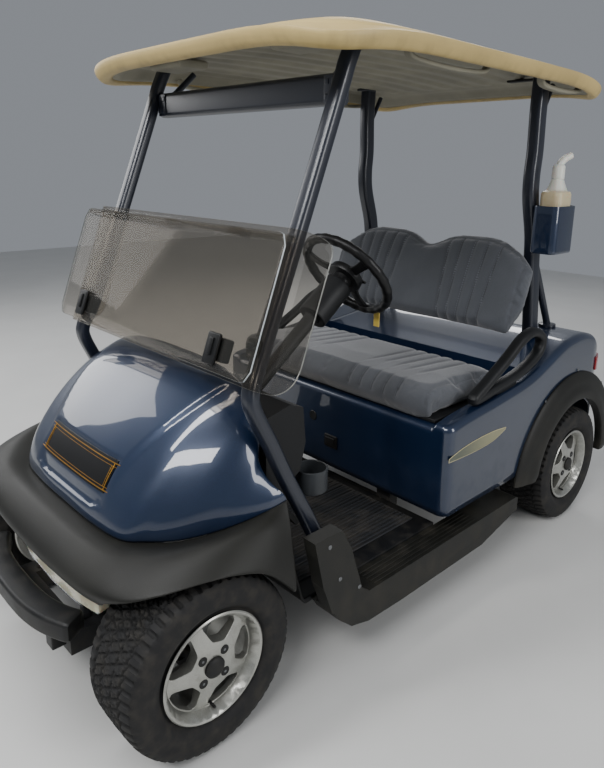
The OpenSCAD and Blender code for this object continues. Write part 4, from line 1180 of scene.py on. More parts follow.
def settled(thing, limit):
    """Remeshes a pad evenly, inflates it as cloth, and caps how far each point moves, in millimetres. A quick
    export only remeshes it."""
    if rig.quick():
        return even(thing, 9)
    even(thing, 7.5)
    count = len(thing.data.vertices)
    before = np.zeros(count * 3, np.float32)
    thing.data.vertices.foreach_get("co", before)
    cloth = thing.modifiers.new("cloth", "CLOTH")
    s = cloth.settings
    s.quality, s.mass = 4, 0.3
    s.use_pressure, s.uniform_pressure_force = True, 3.0
    s.tension_stiffness = s.compression_stiffness = 12
    s.bending_stiffness = 0.8
    s.effector_weights.gravity = 0
    cloth.collision_settings.use_collision = False
    cloth.collision_settings.use_self_collision = False
    scene, frames = bpy.context.scene, 14
    cloth.point_cache.frame_start, cloth.point_cache.frame_end = 1, frames
    for k in range(1, frames + 1):
        scene.frame_set(k)
    mesh = as_made(thing)
    after = np.zeros(count * 3, np.float32)
    mesh.vertices.foreach_get("co", after)
    thing.modifiers.clear()
    scene.frame_set(1)
    move = (after - before).reshape(-1, 3)
    size = np.linalg.norm(move, axis=1, keepdims=True)
    move *= np.minimum(1, limit * MM / np.maximum(size, 1e-9))
    put = before.reshape(-1, 3) + np.nan_to_num(move)
    thing.data.vertices.foreach_set("co", put.ravel())
    bpy.data.meshes.remove(mesh)


def points_of(mesh):
    """A mesh's points, in millimetres."""
    values = np.zeros(len(mesh.vertices) * 3, np.float32)
    mesh.vertices.foreach_get("co", values)
    return values.reshape(-1, 3).astype(float) * 1000


def normals_of(mesh):
    """The outward direction at each of a mesh's points."""
    values = np.zeros(len(mesh.vertices) * 3, np.float32)
    mesh.vertex_normals.foreach_get("vector", values)
    return values.reshape(-1, 3).astype(float)


def hold(mesh, name, values):
    """Keeps one number for each point on the mesh."""
    mesh.attributes.new(name, "FLOAT", "POINT").data.foreach_set("value", np.asarray(values, np.float32))


def sew(thing, gaps, runs, facing, depth, width):
    """Presses sewn channels into a pad: each point moves in by depth x exp(-(gap / width)^2), where gap is its
    distance to the nearest seam."""
    mesh = thing.data
    p, n = points_of(mesh), normals_of(mesh)
    gap, run, side = gaps(p), runs(p), facing(n)
    puff = 0.25 * depth * (1 - bell(gap, 24.0)) * side
    p = p - n * (depth * bell(gap, width) * side - puff)[:, None]
    mesh.vertices.foreach_set("co", (p * MM).astype(np.float32).ravel())
    # the distance to a seam, kept for the cloth's pale stitches and its painted shade in the channels
    hold(mesh, "seam_gap", np.where(side > 0.3, gap, 60.0) * MM)
    hold(mesh, "seam_run", run * MM)


def upholster(thing, low, high, fill, body, slot, *nodes):
    mesh = thing.data
    mesh.materials.clear()
    mesh.materials.append(finish("cloth"))
    p = np.clip(points_of(mesh), low, high)
    mesh.vertices.foreach_set("co", (p * MM).astype(np.float32).ravel())
    mesh.shade_smooth()
    mesh.update()
    m = thing.modifiers.new("finer", "SUBSURF")
    m.levels = m.render_levels = 1
    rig.ride(thing, body)
    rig.slot(thing, slot)
    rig.replaces(thing, *nodes)
    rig.padded(thing, fill)


RIDER_X = 236
SEW_WIDTH = 6.5
CHANNELS = np.array([-116, -58, 0, 58, 116], float)
FAN = np.array([-110, -60, -10, 40, 90], float)


def build_cushion():
    """The seat cushion: a crowned slab with a rolled front, inflated as cloth, with five front-to-back channels
    under each rider and a seam along its front roll and its sides."""
    u = np.linspace(-1, 1, 80)
    profile = [(-10, 592), (-22, 602), (-27, 624), (-27, 652), (-18, 674), (4, 687), (60, 691), (160, 685),
               (300, 676), (385, 668), (405, 652), (411, 630), (404, 608), (300, 605), (150, 605), (40, 605),
               (14, 603), (4, 594)]
    ring = curve(profile, 90, closed=True)
    centre = ring.mean(0)
    rings = []
    for k in u:
        pull = 1 - 0.10 * abs(k) ** 14 - 0.5 * max(abs(k) - 0.985, 0) / 0.015
        rise = 1 + 0.04 * math.cos(math.pi * abs(abs(k) - 0.5) * 1.2)
        r = centre + (ring - centre) * [pull, pull * rise]
        rings.append(np.column_stack([np.full(len(r), 478 * k), r]))
    pad = placed("seat_cushion_cover", mesh_from("seat_cushion_cover", Shell().stack(np.array(rings))))
    settled(pad, 12)

    def gaps(p):
        x = np.abs(p[:, 0])
        lines = np.abs((x - RIDER_X)[:, None] - CHANNELS[None] * (0.92 + 0.1 * (p[:, 1:2] / 450)))
        ends = np.abs(x - 455) + 900 * (p[:, 2] < 640)
        inside = lines.min(1) + 6 * np.clip(640 - p[:, 2], 0, 40)
        return np.minimum(inside, ends + 3)

    runs = lambda p: np.abs(p[:, 1]) + p[:, 2] * 0.5
    facing = lambda n: smooth(n[:, 2] - 0.5 * n[:, 1], 0.1, 0.6)
    sew(pad, gaps, runs, facing, size("channel_depth"), SEW_WIDTH)
    upholster(pad, (-492, -34, 589.6), (492, 419.5, 700), 0.75, "seat_bottom", "seat_vinyl", "seat_cushion")


BACK_FOOT, BACK_HEIGHT, BACK_HALF, BACK_LEAN = 786, 352, 485, 0.42


def back_top(u):
    """The back's height: two humps with a dip of 46 mm between them, falling by up to 120 mm to each side."""
    return BACK_HEIGHT - 46 * bell(u, 0.17) - 120 * (np.maximum(np.abs(u) - 0.5, 0) / 0.5) ** 2.2


def back_surface(u, v, depth):
    """A place in the back: u across, v up, depth behind its front, on a face that leans back by 0.42."""
    h = back_top(u) * v
    w = 0.93 + 0.07 * smooth(np.minimum(v * 2, 1), 0, 1)
    y, z = 428 + BACK_LEAN * h + depth, BACK_FOOT + h - depth * 0.6 * BACK_LEAN
    return np.stack([u * BACK_HALF * w, y, z], -1)


def build_backrest():
    """The backrest: a two-humped pad, thick in the middle and rounded to its rim, inflated as cloth, with channels
    fanning up each hump and a seam round its border."""
    v, u = np.meshgrid(np.linspace(0.03, 0.97, 46), np.linspace(-0.975, 0.975, 120), indexing="ij")
    round_v, round_u = np.abs(2 * v - 1), np.abs(u)
    drop = 24 * round_v**7 + 20 * round_u**12
    belly = 7 * bell(np.abs(u) - 0.5, 0.3) * (1 - round_v**2)
    front = back_surface(u, v, 12 + drop - belly)
    rear = back_surface(u, v, 72 - drop)
    shell = Shell().grid(front).grid(rear, flip=True).grid(np.stack([border(rear), border(front)]), around=True)
    pad = placed("seat_back_cover", mesh_from("seat_back_cover", shell))
    settled(pad, 9)

    def gaps(p):
        x, rise = np.abs(p[:, 0]), p[:, 2] - BACK_FOOT
        spread = 0.86 + 0.34 * np.clip(rise / BACK_HEIGHT, 0, 1.05)
        lines = np.abs((x - RIDER_X)[:, None] - FAN[None] * spread[:, None])
        local = rise / back_top(np.clip(p[:, 0] / BACK_HALF, -1, 1))
        round_edge = 4 + np.minimum(np.abs(local - 0.9) * BACK_HEIGHT, np.abs(x - 440))
        inside = lines.min(1) + 900 * (local > 0.9)
        return np.minimum(inside, np.where((local > 0.85) | (x > 420), round_edge, 900))

    runs = lambda p: p[:, 2]
    facing = lambda n: smooth(-n[:, 1] + 0.3 * n[:, 2], 0.05, 0.5)
    sew(pad, gaps, runs, facing, 0.92 * size("channel_depth"), SEW_WIDTH)
    upholster(pad, (-489, 400, 764), (489, 670, 1142), 0.7, "chassis", "seat_vinyl", "seat_back")


ARM = [(150, 642), (222, 682), (335, 742), (424, 794), (500, 810), (562, 780), (556, 734), (500, 700),
       (404, 672), (262, 652)]


def build_armrests():
    """Each armrest: an oval section, |cos|^0.8 by |sin|^0.8, carried round a closed loop, and its foot."""
    loop = curve(ARM, 120, closed=True)
    path = np.column_stack([np.full(120, 523.5), loop])
    oval = circle(1, 20)
    outline = np.sign(oval) * np.abs(oval) ** 0.8 * [20.5, 17.5]
    arm = Shell().sweep(path, outline, closed=True)
    arm.box((511, 272, 630.6), (536, 398, 668), 5)
    piece("armrest_loops", arm.mirrored(), finish("arm"), replaces=("armrests",))


# ---------- pillars and canopy ----------

PILLAR = [(521, -446, 257), (516, -474, 310), (505, -520, 400), (487, -556, 492), (468, -606, 606),
          (460, -652, 712), (452, -692, 800), (446, -694, 846), (436, -664, 906), (434, -600, 1058),
          (434, -496, 1316), (434, -404, 1548), (434, -382, 1606), (434, -350, 1672)]
STRUT = [(700, 744), (690, 820), (676, 920), (660, 1020), (646, 1131), (608, 1258), (600, 1340), (606, 1429),
         (602, 1562), (606, 1678)]


def build_pillars():
    """The roof's posts, carried along their curves, with their feet, pads and braces, and the header beam."""
    posts = Shell().sweep(curve(PILLAR, 90), oblong(42, 38, 13, 5))
    posts.box((504.5, -479, 238.5), (543.5, -411, 257.5), 3).box((405, -379, 1670.5), (463, -321, 1679.5), 2)
    piece("front_posts", posts.mirrored(), finish("strut"), slot="strut_navy", replaces=("front_pillars",))
    softened("header_beam", finish("strut"), 3, slot="strut_navy")
    bolts = Shell()
    for x, z in ((404, 1530), (404, 1566), (380, 1530), (380, 1566)):
        bolts.box((x - 7, -398.5, z - 7), (x + 7, -393.6, z + 7), 2)
    bolts.box((370, -396.5, 1514), (411, -393.8, 1582), 1.2)
    piece("beam_plates", bolts.mirrored(), finish("strut"), slot="strut_navy")
    struts = Shell()
    side = np.column_stack([np.full(80, 400.0), curve(STRUT, 80) + [13, 0]])
    struts.sweep(side, oblong(46, 59, 15, 6))
    struts.rod((400, 850, 760), (400, 655, 1100), 14, 20)
    struts.turned([(752.3, 33), (754, 34), (764, 33), (766, 26), (766, 0.1)], (400, 850, 0), "z", 32)
    struts.turned([(741.5, 29), (743, 30), (750, 29), (752, 22), (752, 0.1)], (400, 700, 0), "z", 32)
    struts.rod((400, 610, 1500), (400, 700, 1654), 9, 14).box((371, 577, 1673.5), (429, 635, 1684.9), 2)
    struts.box((241, 588, 928), (259, 668, 958), 3)
    struts.mirrored()
    for y, z in ((686, 860), (671, 950)):
        struts.rod((-399, y, z), (399, y, z), 11.8, 20)
    piece("rear_posts", struts, finish("strut"), slot="strut_navy", replaces=("rear_struts",))


ROOF_HALF_X, ROOF_HALF_Y, ROOF_Y = 590, 755, 157
ROOF_POWER, ROOF_TAPER, LINER = 8.0, 0.035, 0.938


def canopy_ring(r, z, count=240):
    """A level ring of the roof: a superellipse of exponent 8, 3.5% narrower towards the rear, whose corners droop by
    28 mm x ((r - 0.8) / 0.2)^1.5."""
    a = np.linspace(0, 2 * math.pi, count, endpoint=False)
    c, s = np.cos(a), np.sin(a)
    y = np.sign(s) * np.abs(s) ** (2 / ROOF_POWER)
    x = ROOF_HALF_X * (1 - ROOF_TAPER * (1 + y)) * np.sign(c) * np.abs(c) ** (2 / ROOF_POWER)
    corner = (2 * np.abs(c * s)) ** 1.5
    r, z = np.asarray(r, float)[..., None], np.asarray(z, float)[..., None]
    return np.stack([r * x, ROOF_Y + r * ROOF_HALF_Y * y, z - droop_at(r) * corner], -1)


def droop_at(r):
    """How far the roof's corners hang down at a share r of its size."""
    return 28 * (np.clip(r - 0.8, 0, None) / 0.2) ** 1.5


def build_canopy():
    """The roof: rings whose height is 1670 + 76 (1 - r^2.6), a low step inside its rim, a rolled edge and a
    turned-in lip."""
    r = np.array([0.02, 0.1, 0.2, 0.3, 0.4, 0.5, 0.6, 0.68, 0.75, 0.8, 0.84, 0.87, 0.89, 0.9, 0.905, 0.912,
                  0.92, 0.94, 0.955, 0.968, 0.979, 0.988, 0.995, 0.999])
    z = 1670 + 76 * (1 - r**2.6) - 3.2 * smooth(r, 0.895, 0.915) * (1 - smooth(r, 0.97, 0.999)) - 0.3
    lip = np.array([(1.0, 1666), (0.999, 1661), (0.997, 1656), (0.995, 1652), (0.992, 1648), (0.988, 1643),
                    (0.983, 1638), (0.976, 1633.5), (0.968, 1630.6), (0.955, 1630.6), (0.945, 1633), (0.94, 1637),
                    (0.937, 1646), (0.936, 1662)])
    rings = canopy_ring(np.concatenate([r, lip[:, 0]]), np.concatenate([z, lip[:, 1]]))
    top = Shell().grid(rings, around=True)
    top.cap(rings[0])
    piece("canopy_shell", top, finish("canopy"), slot="canopy_beige", replaces=("canopy",))


def build_liner():
    """The roof's underside: a square grid drawn in to the roof's own outline, falling towards its rim, with
    front-to-back ribs every 91 mm and a raised bead round it."""
    x, y = np.meshgrid(np.linspace(-1, 1, 220), np.linspace(-1, 1, 90))
    norm = lambda x, y: (np.abs(x) ** ROOF_POWER + np.abs(y) ** ROOF_POWER) ** (1 / ROOF_POWER)
    square = np.maximum(np.abs(x), np.abs(y)) / np.maximum(norm(x, y), 1e-9)
    sx, sy = x * square, y * square
    rr = norm(sx, sy) * LINER
    px = sx * LINER * ROOF_HALF_X * (1 - ROOF_TAPER * (1 + sy))
    py = ROOF_Y + sy * LINER * ROOF_HALF_Y
    corner = (2 * (np.abs(sx) * np.abs(sy) / np.maximum(rr / LINER, 1e-9) ** 2) ** 4) ** 1.5
    base = 1664 + 34 * (1 - rr**3) - 30 * smooth(rr, 0.86, LINER) - droop_at(rr) * corner
    ribs = np.abs(((px + 455) / 91) % 1 - 0.5) * 2
    inside = (1 - smooth(np.abs(px), 420, 470)) * (1 - smooth(np.abs(py - ROOF_Y), 560, 640))
    base = base - 9 * smooth(ribs, 0.35, 0.8) * inside - 7 * bell(rr - 0.85, 0.02)
    liner = Shell().grid(np.stack([px, py, base], -1), flip=True)
    wall(piece("canopy_liner", liner, finish("liner"), closed=False), 2)


GRIP = [(505, 420, 1648), (500, 440, 1626), (496, 520, 1618), (492, 620, 1618), (490, 700, 1626),
        (490, 720, 1648)]
FRONT_GRIP = [(512, -250, 1648), (509, -230, 1628), (506, -120, 1620), (503, 0, 1620), (500, 100, 1628),
              (500, 120, 1648)]


def build_grips():
    """Two pairs of grab handles under the roof, two pads in front and the dark slot at the rear."""
    trim = Shell()
    for hand in (-1, 1):
        trim.sweep(curve(np.array(GRIP) * [hand, 1, 1], 50), oblong(26, 14, 6, 4), (1, 0, 0))
        trim.sweep(curve(np.array(FRONT_GRIP) * [hand, 1, 1], 50), oblong(24, 12, 5, 4), (1, 0, 0))
        trim.box((hand * 300 - 90, -440, 1648), (hand * 300 + 90, -330, 1674), 12, 4)
    piece("canopy_grips", trim, finish("liner"))
    slot = Shell().box((235, 664, 1668), (395, 694, 1676), 6)
    # painted shade: the slot is a near-black box standing in for the shadow inside it
    piece("canopy_slot", slot, finish("hole"))


# ---------- windshield ----------

FOOT = np.array([0.0, -720.0, 862.0])
TILT = math.atan(0.372)
UP = np.array([0.0, math.sin(TILT), math.cos(TILT)])
BACK = np.array([0.0, math.cos(TILT), -math.sin(TILT)])


def on_pane(x, depth, rise):
    """A place by the windshield: x across, depth behind its front face, rise up its slope."""
    x, depth, rise = np.broadcast_arrays(x, depth, rise)
    return FOOT + x[..., None] * [1.0, 0, 0] + depth[..., None] * BACK + rise[..., None] * UP


def pane_outline():
    """The lower pane's plan, from the end of one wing round both corners to the other's."""
    right = arc((-462, 40), 40, 180, 270, 12)
    left = arc((462, 40), 40, 270, 360, 12)
    wing = np.linspace(118, 44, 14)
    a = np.column_stack([np.full(14, -502.0), wing])
    b = np.column_stack([np.full(14, 502.0), wing[::-1]])
    front = np.column_stack([np.linspace(-450, 450, 60), np.zeros(60)])
    return np.concatenate([a, right, front, left, b])


LEAN_BACK = np.array([[1, 0, 0], [0, math.cos(TILT), math.sin(TILT)], [0, -math.sin(TILT), math.cos(TILT)]])


def build_windshield():
    """The lower pane over its plan with rounded wing tips, the upper pane behind it, their clips and hinge."""
    plan = pane_outline()
    wing = np.clip((plan[:, 1] - 40) / 78, 0, 1)
    low = 2 + 74 * (1 - np.sqrt(np.clip(1 - wing**2, 0, 1)))
    high = 388 - 30 * (1 - np.sqrt(np.clip(1 - wing**4, 0, 1)))
    t = np.linspace(0, 1, 16)[:, None]
    rise = low[None] + (high - low)[None] * t
    lower = Shell().grid(on_pane(plan[None, :, 0], plan[None, :, 1], rise))
    clear = {"finish": finish("pane"), "slot": "clear_pane", "closed": False}
    pane = piece("windshield_lower_pane", lower, replaces=("windshield_lower",), **clear)
    wall(pane, 4.6, finish("pane_edge"))
    x = np.linspace(-499, 499, 70)
    corner = np.clip((np.abs(x) - 469) / 30, 0, 1)
    cut = 30 * (1 - np.sqrt(1 - corner**2))
    rise = (15 + cut)[None] + (354 - 2 * cut)[None] * np.linspace(0, 1, 12)[:, None]
    upper = Shell().grid(on_pane(x[None], np.full((12, 70), -35.6), rise))
    pane = piece("windshield_upper_pane", upper, replaces=("windshield_upper",), **clear)
    wall(pane, 4.2, finish("pane_edge"))
    clips = Shell()
    for x0 in (-380, 320):
        clips.box((x0, -30.5, 41), (x0 + 60, -0.5, 99), 6)
        clips.box((x0 + 6, -47, 30), (x0 + 54, -36.3, 108), 5)
        clips.box((x0 + 22, -52, 52), (x0 + 38, -44, 96), 4)
    for x0 in (-434, 434):
        clips.box((x0 - 19, 5.6, 81), (x0 + 19, 17.5, 119), 4).box((x0 - 12, -2, 92), (x0 + 12, 6, 108), 3)
    clips.moved(FOOT, LEAN_BACK)
    piece("windshield_clips", clips, finish("bumper"), replaces=("windshield_fittings",))
    hinge = Shell().box((-499, -30.6, 354.5), (499, -0.5, 365.5), 4, 4)
    for x0 in (-300, 0, 300):
        hinge.box((x0 - 26, -33, 350), (x0 + 26, 2, 368), 3)
    hinge.moved(FOOT, LEAN_BACK)
    piece("windshield_hinge", hinge, finish("pane"), slot="clear_pane")


# ---------- steering and dash ----------

WHEEL = np.array([220.0, -140.0, 1040.0])
LEAN = math.radians(38)
WHEEL_TURN = np.array([[1, 0, 0], [0, math.sin(LEAN), math.cos(LEAN)], [0, -math.cos(LEAN), math.sin(LEAN)]])


def build_steering():
    """The steering wheel: a rim tube with finger swells, three dished spokes, a hub, a clip and the key's tag."""
    a = np.linspace(0, 2 * math.pi, 144, endpoint=False)
    ring = np.column_stack([149 * np.cos(a), 149 * np.sin(a), np.zeros(144)])
    swell = 0.95 + 0.05 * np.cos(a * 24)
    rim = Shell().sweep(ring, circle(15.8, 20), (0, 0, 1), swell, closed=True)
    for deg in (90, 210, 330):
        c, s = math.cos(math.radians(deg)), math.sin(math.radians(deg))
        d = np.linspace(36, 141, 20)
        dip = np.sin(np.pi * (d - 36) / 105)
        path = np.column_stack([d * c, d * s, -1 - 6 * dip])
        rim.sweep(path, oblong(38, 11, 5, 4), (-s, c, 0), 1 - 0.2 * dip)
    hub = [(-43, 0.1), (-43, 33), (-22, 34), (-20, 55), (-14, 58), (2, 56), (8, 46), (10, 30), (10, 0.1)]
    rim.turned(hub, (0, 0, 0), "z", 48)
    rim.moved(WHEEL, WHEEL_TURN)
    body = "steering_wheel"
    piece("steering_wheel_grip", rim, finish("grip"), body, "wheel_black", replaces=("steering_wheel",))
    clip = Shell().box((-44, -30, 9), (44, 34, 15), 3).box((-36, 22, 14), (36, 34, 21), 3)
    clip.box((-50, 34, 9), (50, 42, 18), 3)
    clip.moved(WHEEL, WHEEL_TURN)
    piece("score_clip", clip, finish("dash"), "steering_wheel")
    string = Shell().sweep(curve([(238, -24, 926), (242, -20, 916), (244, -18, 906)], 14), circle(1.0, 6))
    piece("tag_string", string, finish("chrome"), "steering_wheel")
    label = Shell().box((232, -20, 860), (256, -16.5, 907), 1.6)
    piece("key_tag", label, finish("tag"), "steering_wheel")


def build_dash():
    """The dash, column and pedals with eased edges, the key switch, and the ribs on both pedal pads."""
    softened("dashboard", finish("dash"), 6, slot="dash_black", steps=3)
    softened("pedals", finish("bumper"), 2.5)
    softened("steering_column", finish("dash"), 5, steps=3)
    details = Shell().turned([(0, 0.1), (0, 17), (4, 16), (6, 11), (6, 0.1)], (120, -478, 690), "y", 32)
    details.box((20, -479, 700), (52, -470, 722), 3)
    piece("dash_switches", details, finish("bumper"))
    lean = math.radians(40)
    turn = np.array([[1, 0, 0], [0, math.cos(lean), -math.sin(lean)], [0, math.sin(lean), math.cos(lean)]])
    pads = Shell()
    for z in np.linspace(-40, 36, 6):
        for x in (150, 300):
            pads.box((x - 42, 7.5, z), (x + 42, 10.6, z + 6), 1.4, 2)
    pads.moved((0, -480, 396), turn)
    piece("pedal_ribs", pads, finish("mat"))


def build_cup_holder():
    """The cup holder: a hollow ring turned from its section, its arm, and two small knobs."""
    section = [(470, 0.1), (470, 44), (473, 47), (520, 47.5), (533, 48), (538, 47.6), (540, 45.5), (538, 43),
               (530, 42.4), (480, 41.5), (477, 38), (476.5, 0.1)]
    cup = Shell().turned(section, (372, -424, 0), "z", 48)
    cup.box((272, -480, 518), (330, -441, 536), 5).box((277, -478, 534), (300, -444, 552), 4)
    piece("cup_ring", cup, finish("cup"), slot="cup_grey", replaces=("cup_holder",))
    knobs = Shell()
    for x, y in ((287, -470), (296, -452)):
        knobs.turned([(551, 3), (556, 4), (558, 9), (564, 11), (569, 8), (570, 0.1)], (x, y, 0), "z", 20)
    piece("cup_knobs", knobs, finish("knob"))


# ---------- bottle ----------


def build_bottle():
    """The sand bottle and its holder: a straight bottle of rounded plan with a sloping shoulder, a collar and a
    bent spout, in an open box with rounded edges."""
    x, y, z = 473.3, 664.0, 1074.4
    level = lambda o, height, k=1.0: np.column_stack([o * k + [x, y], np.full(len(o), float(height))])
    plan = oblong(83, 103, 25, 8)
    rings = [level(plan, z, 0.93), level(plan, z + 5, 0.99), level(plan, z + 14)]
    rings += [level(plan, z + h, 1 - 0.006 * (h > 100)) for h in (60, 101, 104, 160, 196)]
    rings += [level(plan, z + 206, 0.985), level(plan, z + 213, 0.93)]
    around = np.arctan2(plan[:, 1], plan[:, 0])
    round_plan = 41 * np.column_stack([np.cos(around), np.sin(around)])
    rings += [level(round_plan, z + 216 + 44 * k, 0.93 - 0.45 * k**0.8) for k in np.linspace(0.05, 1, 8)]
    bottle = Shell().stack(np.array(rings))
    piece("bottle_body", bottle, finish("bottle"), slot="bottle_white", replaces=("sand_bottle",))
    collar = [(z + 256, 0.1), (z + 256, 19.6), (z + 259, 22), (z + 300, 21.5), (z + 306, 18), (z + 309, 0.1)]
    cap = Shell().turned(collar, (x, y, 0), "z", 36)
    spout = curve([(0, 0, 298), (3, 5, 312), (10, 17, 326), (24, 39, 340)], 30) + [x, y, z]
    taper = np.interp(np.linspace(0, 1, 30), [0, 0.5, 0.96, 1], [1.0, 0.95, 0.85, 0.7])
    cap.sweep(spout, circle(13.5, 20), (1, -0.6, 0), taper)
    piece("bottle_spout", cap, finish("bottle"))
    outline, inner = oblong(97, 149, 23, 8), oblong(90, 142, 20, 8)
    outside = ((1072, 0.94), (1076, 0.99), (1084, 1), (1236, 1), (1239.5, 0.995))
    inside = ((1239.5, 1.005), (1236, 1), (1082, 1), (1074.2, 0.95))
    rings = [level(outline, *ring) for ring in outside] + [level(inner, *ring) for ring in inside]
    box = Shell().stack(np.array(rings))
    piece("bottle_box", box, finish("paint"), slot="holder_blue", replaces=("bottle_holder",))


# ---------- wheels ----------


BLOCKS = 54
TYRE_R, TREAD_HALF = 229.3, 92
SIDEWALL = [(96.5, 211), (99.5, 203), (101.2, 195), (101.8, 186), (101.9, 178), (102.2, 172), (101.6, 166),
            (98.5, 160), (94, 153), (88, 147), (84, 143.5), (83, 140.5), (84.2, 138), (83, 134), (81, 129.5),
            (78, 127.6)]
INSIDE = [(66, 127.6), (80, 150), (86, 172), (80, 200), (60, 206)]


def tread_cut(turn, across):
    """How deep the tread is cut, 0 to 1: two crossing families of slanted grooves and four wavy grooves round the
    tyre, thin cuts between them, and side slots on the shoulders, all periodic round the tyre."""
    near = lambda phase, width: 1 - smooth(np.abs((phase + 0.5) % 1 - 0.5), width * 0.55, width)
    lap = turn * BLOCKS / (2 * math.pi)
    inner = 1 - smooth(np.abs(across), 56, 60)
    one, two = near(lap + across / 46, 0.15), near(lap - across / 46, 0.15)
    sway = lambda c: np.abs(across - c - 3.5 * np.sin(turn * BLOCKS + c))
    wavy = sum(1 - smooth(sway(c), 1.8, 3.4) for c in (-58, -20, 20, 58))
    sipe = 0.45 * near(lap * 2 + across / 60, 0.1) * inner
    slots = near(lap + 0.25 * np.sign(across), 0.2) * smooth(np.abs(across), 60, 64)
    cut = np.maximum.reduce([one * inner, two * inner, np.clip(wavy, 0, 1), sipe, slots])
    return cut * (1 - smooth(np.abs(across), 86, 97))


def build_tyre(node, body):
    """A tyre: its section carried round the axle. The crown falls by 1.2 mm x (x / 61)^2, and past 61 mm by
    7.3 mm x ((x - 61) / 31)^1.7 more, and the tread's depth x its pattern is cut into it."""
    centre, steps = mid(node), 432
    tread = np.linspace(-TREAD_HALF, TREAD_HALF, 62)
    past = np.clip(np.abs(tread) - 61, 0, None) / 31
    crown = TYRE_R - 1.2 * np.minimum(np.abs(tread) / 61, 1) ** 2 - 7.3 * past**1.7
    half = np.array(SIDEWALL + INSIDE, float)
    profile = np.concatenate([half[::-1] * [-1, 1], np.column_stack([tread, crown]), half])
    turn = np.linspace(0, 2 * math.pi, steps, endpoint=False)
    across, angle = np.meshgrid(profile[:, 0], turn, indexing="ij")
    outside = np.repeat((profile[:, 1] > 196)[:, None], steps, 1) & (np.abs(across) < 101.5)
    outside[: len(INSIDE)] = False
    outside[-len(INSIDE) :] = False
    groove = tread_cut(angle, across) * outside
    radius = np.repeat(profile[:, 1:], steps, 1) - size("tread_depth") * groove
    bars = smooth(np.cos(angle * BLOCKS), 0.2, 0.7) * bell(profile[:, 1:] - 190, 5.5) * (np.abs(across) > 98)
    lane = across + np.sign(across) * 0.5 * bars
    p = np.stack([lane, radius * np.cos(angle), radius * np.sin(angle)], -1) + centre
    shell = Shell().grid(p, around=True, stacked=True)
    mesh = mesh_from(node + "_tread", shell, angle=50)
    q = points_of(mesh) - centre
    far = np.hypot(q[:, 1], q[:, 2]) > 190
    # the groove depth, kept for the rubber's painted shade in the grooves
    hold(mesh, "groove", tread_cut(np.arctan2(q[:, 2], q[:, 1]), q[:, 0]) * far)
    piece(node + "_tread", mesh, finish("rubber"), body, "tyre_rubber", replaces=(node,))


def build_rim(node, body, side):
    """The alloy rim: the frame's own shape with eased edges, a black cap, four nuts in wells and a valve."""
    softened(node, finish("alloy"), 2.2, body, "rim_silver", angle=38)
    centre = mid(node.replace("rim", "tyre"))
    face, bolt_circle = 86.5, 43
    dome = [(face - 6, 26), (face + 5, 26), (face + 8, 23.5), (face + 10.5, 16), (face + 11, 0.1)]
    cap = Shell().turned(dome, centre, "x", 40, side)
    piece(node + "_cap", cap, finish("dash"), body)
    wells, nuts = Shell(), Shell()
    dish = [(face - 3, 0.1), (face - 3, 10.8), (face - 0.6, 11.8), (face + 0.5, 11.0), (face + 0.3, 9.4)]
    nut = [(face - 4, 6.4), (face - 1.4, 6.4), (face + 0.2, 4.8), (face + 0.6, 0.1)]
    for a in np.radians([45, 135, 225, 315]):
        place = centre + np.array([0, bolt_circle * math.cos(a), bolt_circle * math.sin(a)])
        wells.turned(dish, place, "x", 20, side)
        nuts.turned(nut, place, "x", 6, side)
    # painted shade: the nut wells are near-black, standing in for the shadow down in them
    piece(node + "_wells", wells, finish("hole"), body)
    piece(node + "_nuts", nuts, finish("bolt"), body)
    stem = Shell().turned([(60, 4), (78, 3.4), (84, 3), (85, 0.1)], centre - [0, 0, 117], "x", 12, side)
    piece(node + "_valve", stem, finish("hole"), body)


def build_running_gear():
    """Finishes on the frame's own running gear, and the front springs: helices of seven turns, radius 33 mm."""
    painted = ("chassis_frame", "rear_axle", "knuckle_left", "knuckle_right", "front_suspension")
    coats = {**dict.fromkeys(painted, "frame"), "steering_rack": "steel", "battery_pack": "battery"}
    for node, name in coats.items():
        NODES[node].data.materials.clear()
        NODES[node].data.materials.append(finish(name))
    turns = 7
    low, high = np.array([320.0, -872.0, 296.0]), np.array([226.0, -872.0, 452.0])
    a = np.linspace(0, 2 * math.pi * turns, 200)
    line = low + (high - low) * (a / a[-1])[:, None]
    along_shock = unit(high - low)
    across = np.cross(along_shock, [0, 1.0, 0])
    coil = line + 33 * (np.cos(a)[:, None] * across + np.sin(a)[:, None] * np.array([0, 1.0, 0]))
    coils = Shell().sweep(coil, circle(4.5, 8), along_shock)
    piece("front_springs", coils.mirrored(), finish("steel"))


def build_floor():
    """The floor, mat, bag well, seat board, rear bumper and tail lights, all eased, and the mat's ridges."""
    softened("floor_pan", finish("dash"), 3, slot="floor_black")
    softened("floor_mat", finish("mat"), 1.6, slot="floor_black")
    softened("bag_well", finish("skirt"), 2.0)
    softened("seat_base", finish("board"), 3, body="seat_bottom", slot="seat_board")
    softened("rear_bumper", finish("bumper"), 6, slot="bumper_black", steps=3)
    softened("tail_lights", finish("red_lens"), 2, slot="tail_red")
    ridges = Shell()
    for x in np.linspace(-424, 424, 38):
        ridges.box((x - 3, -520, 250.2), (x + 3, -40, 252.6), 1.1, 2)
    piece("mat_ridges", ridges, finish("mat"), slot="floor_black")


# ---------- stage ----------

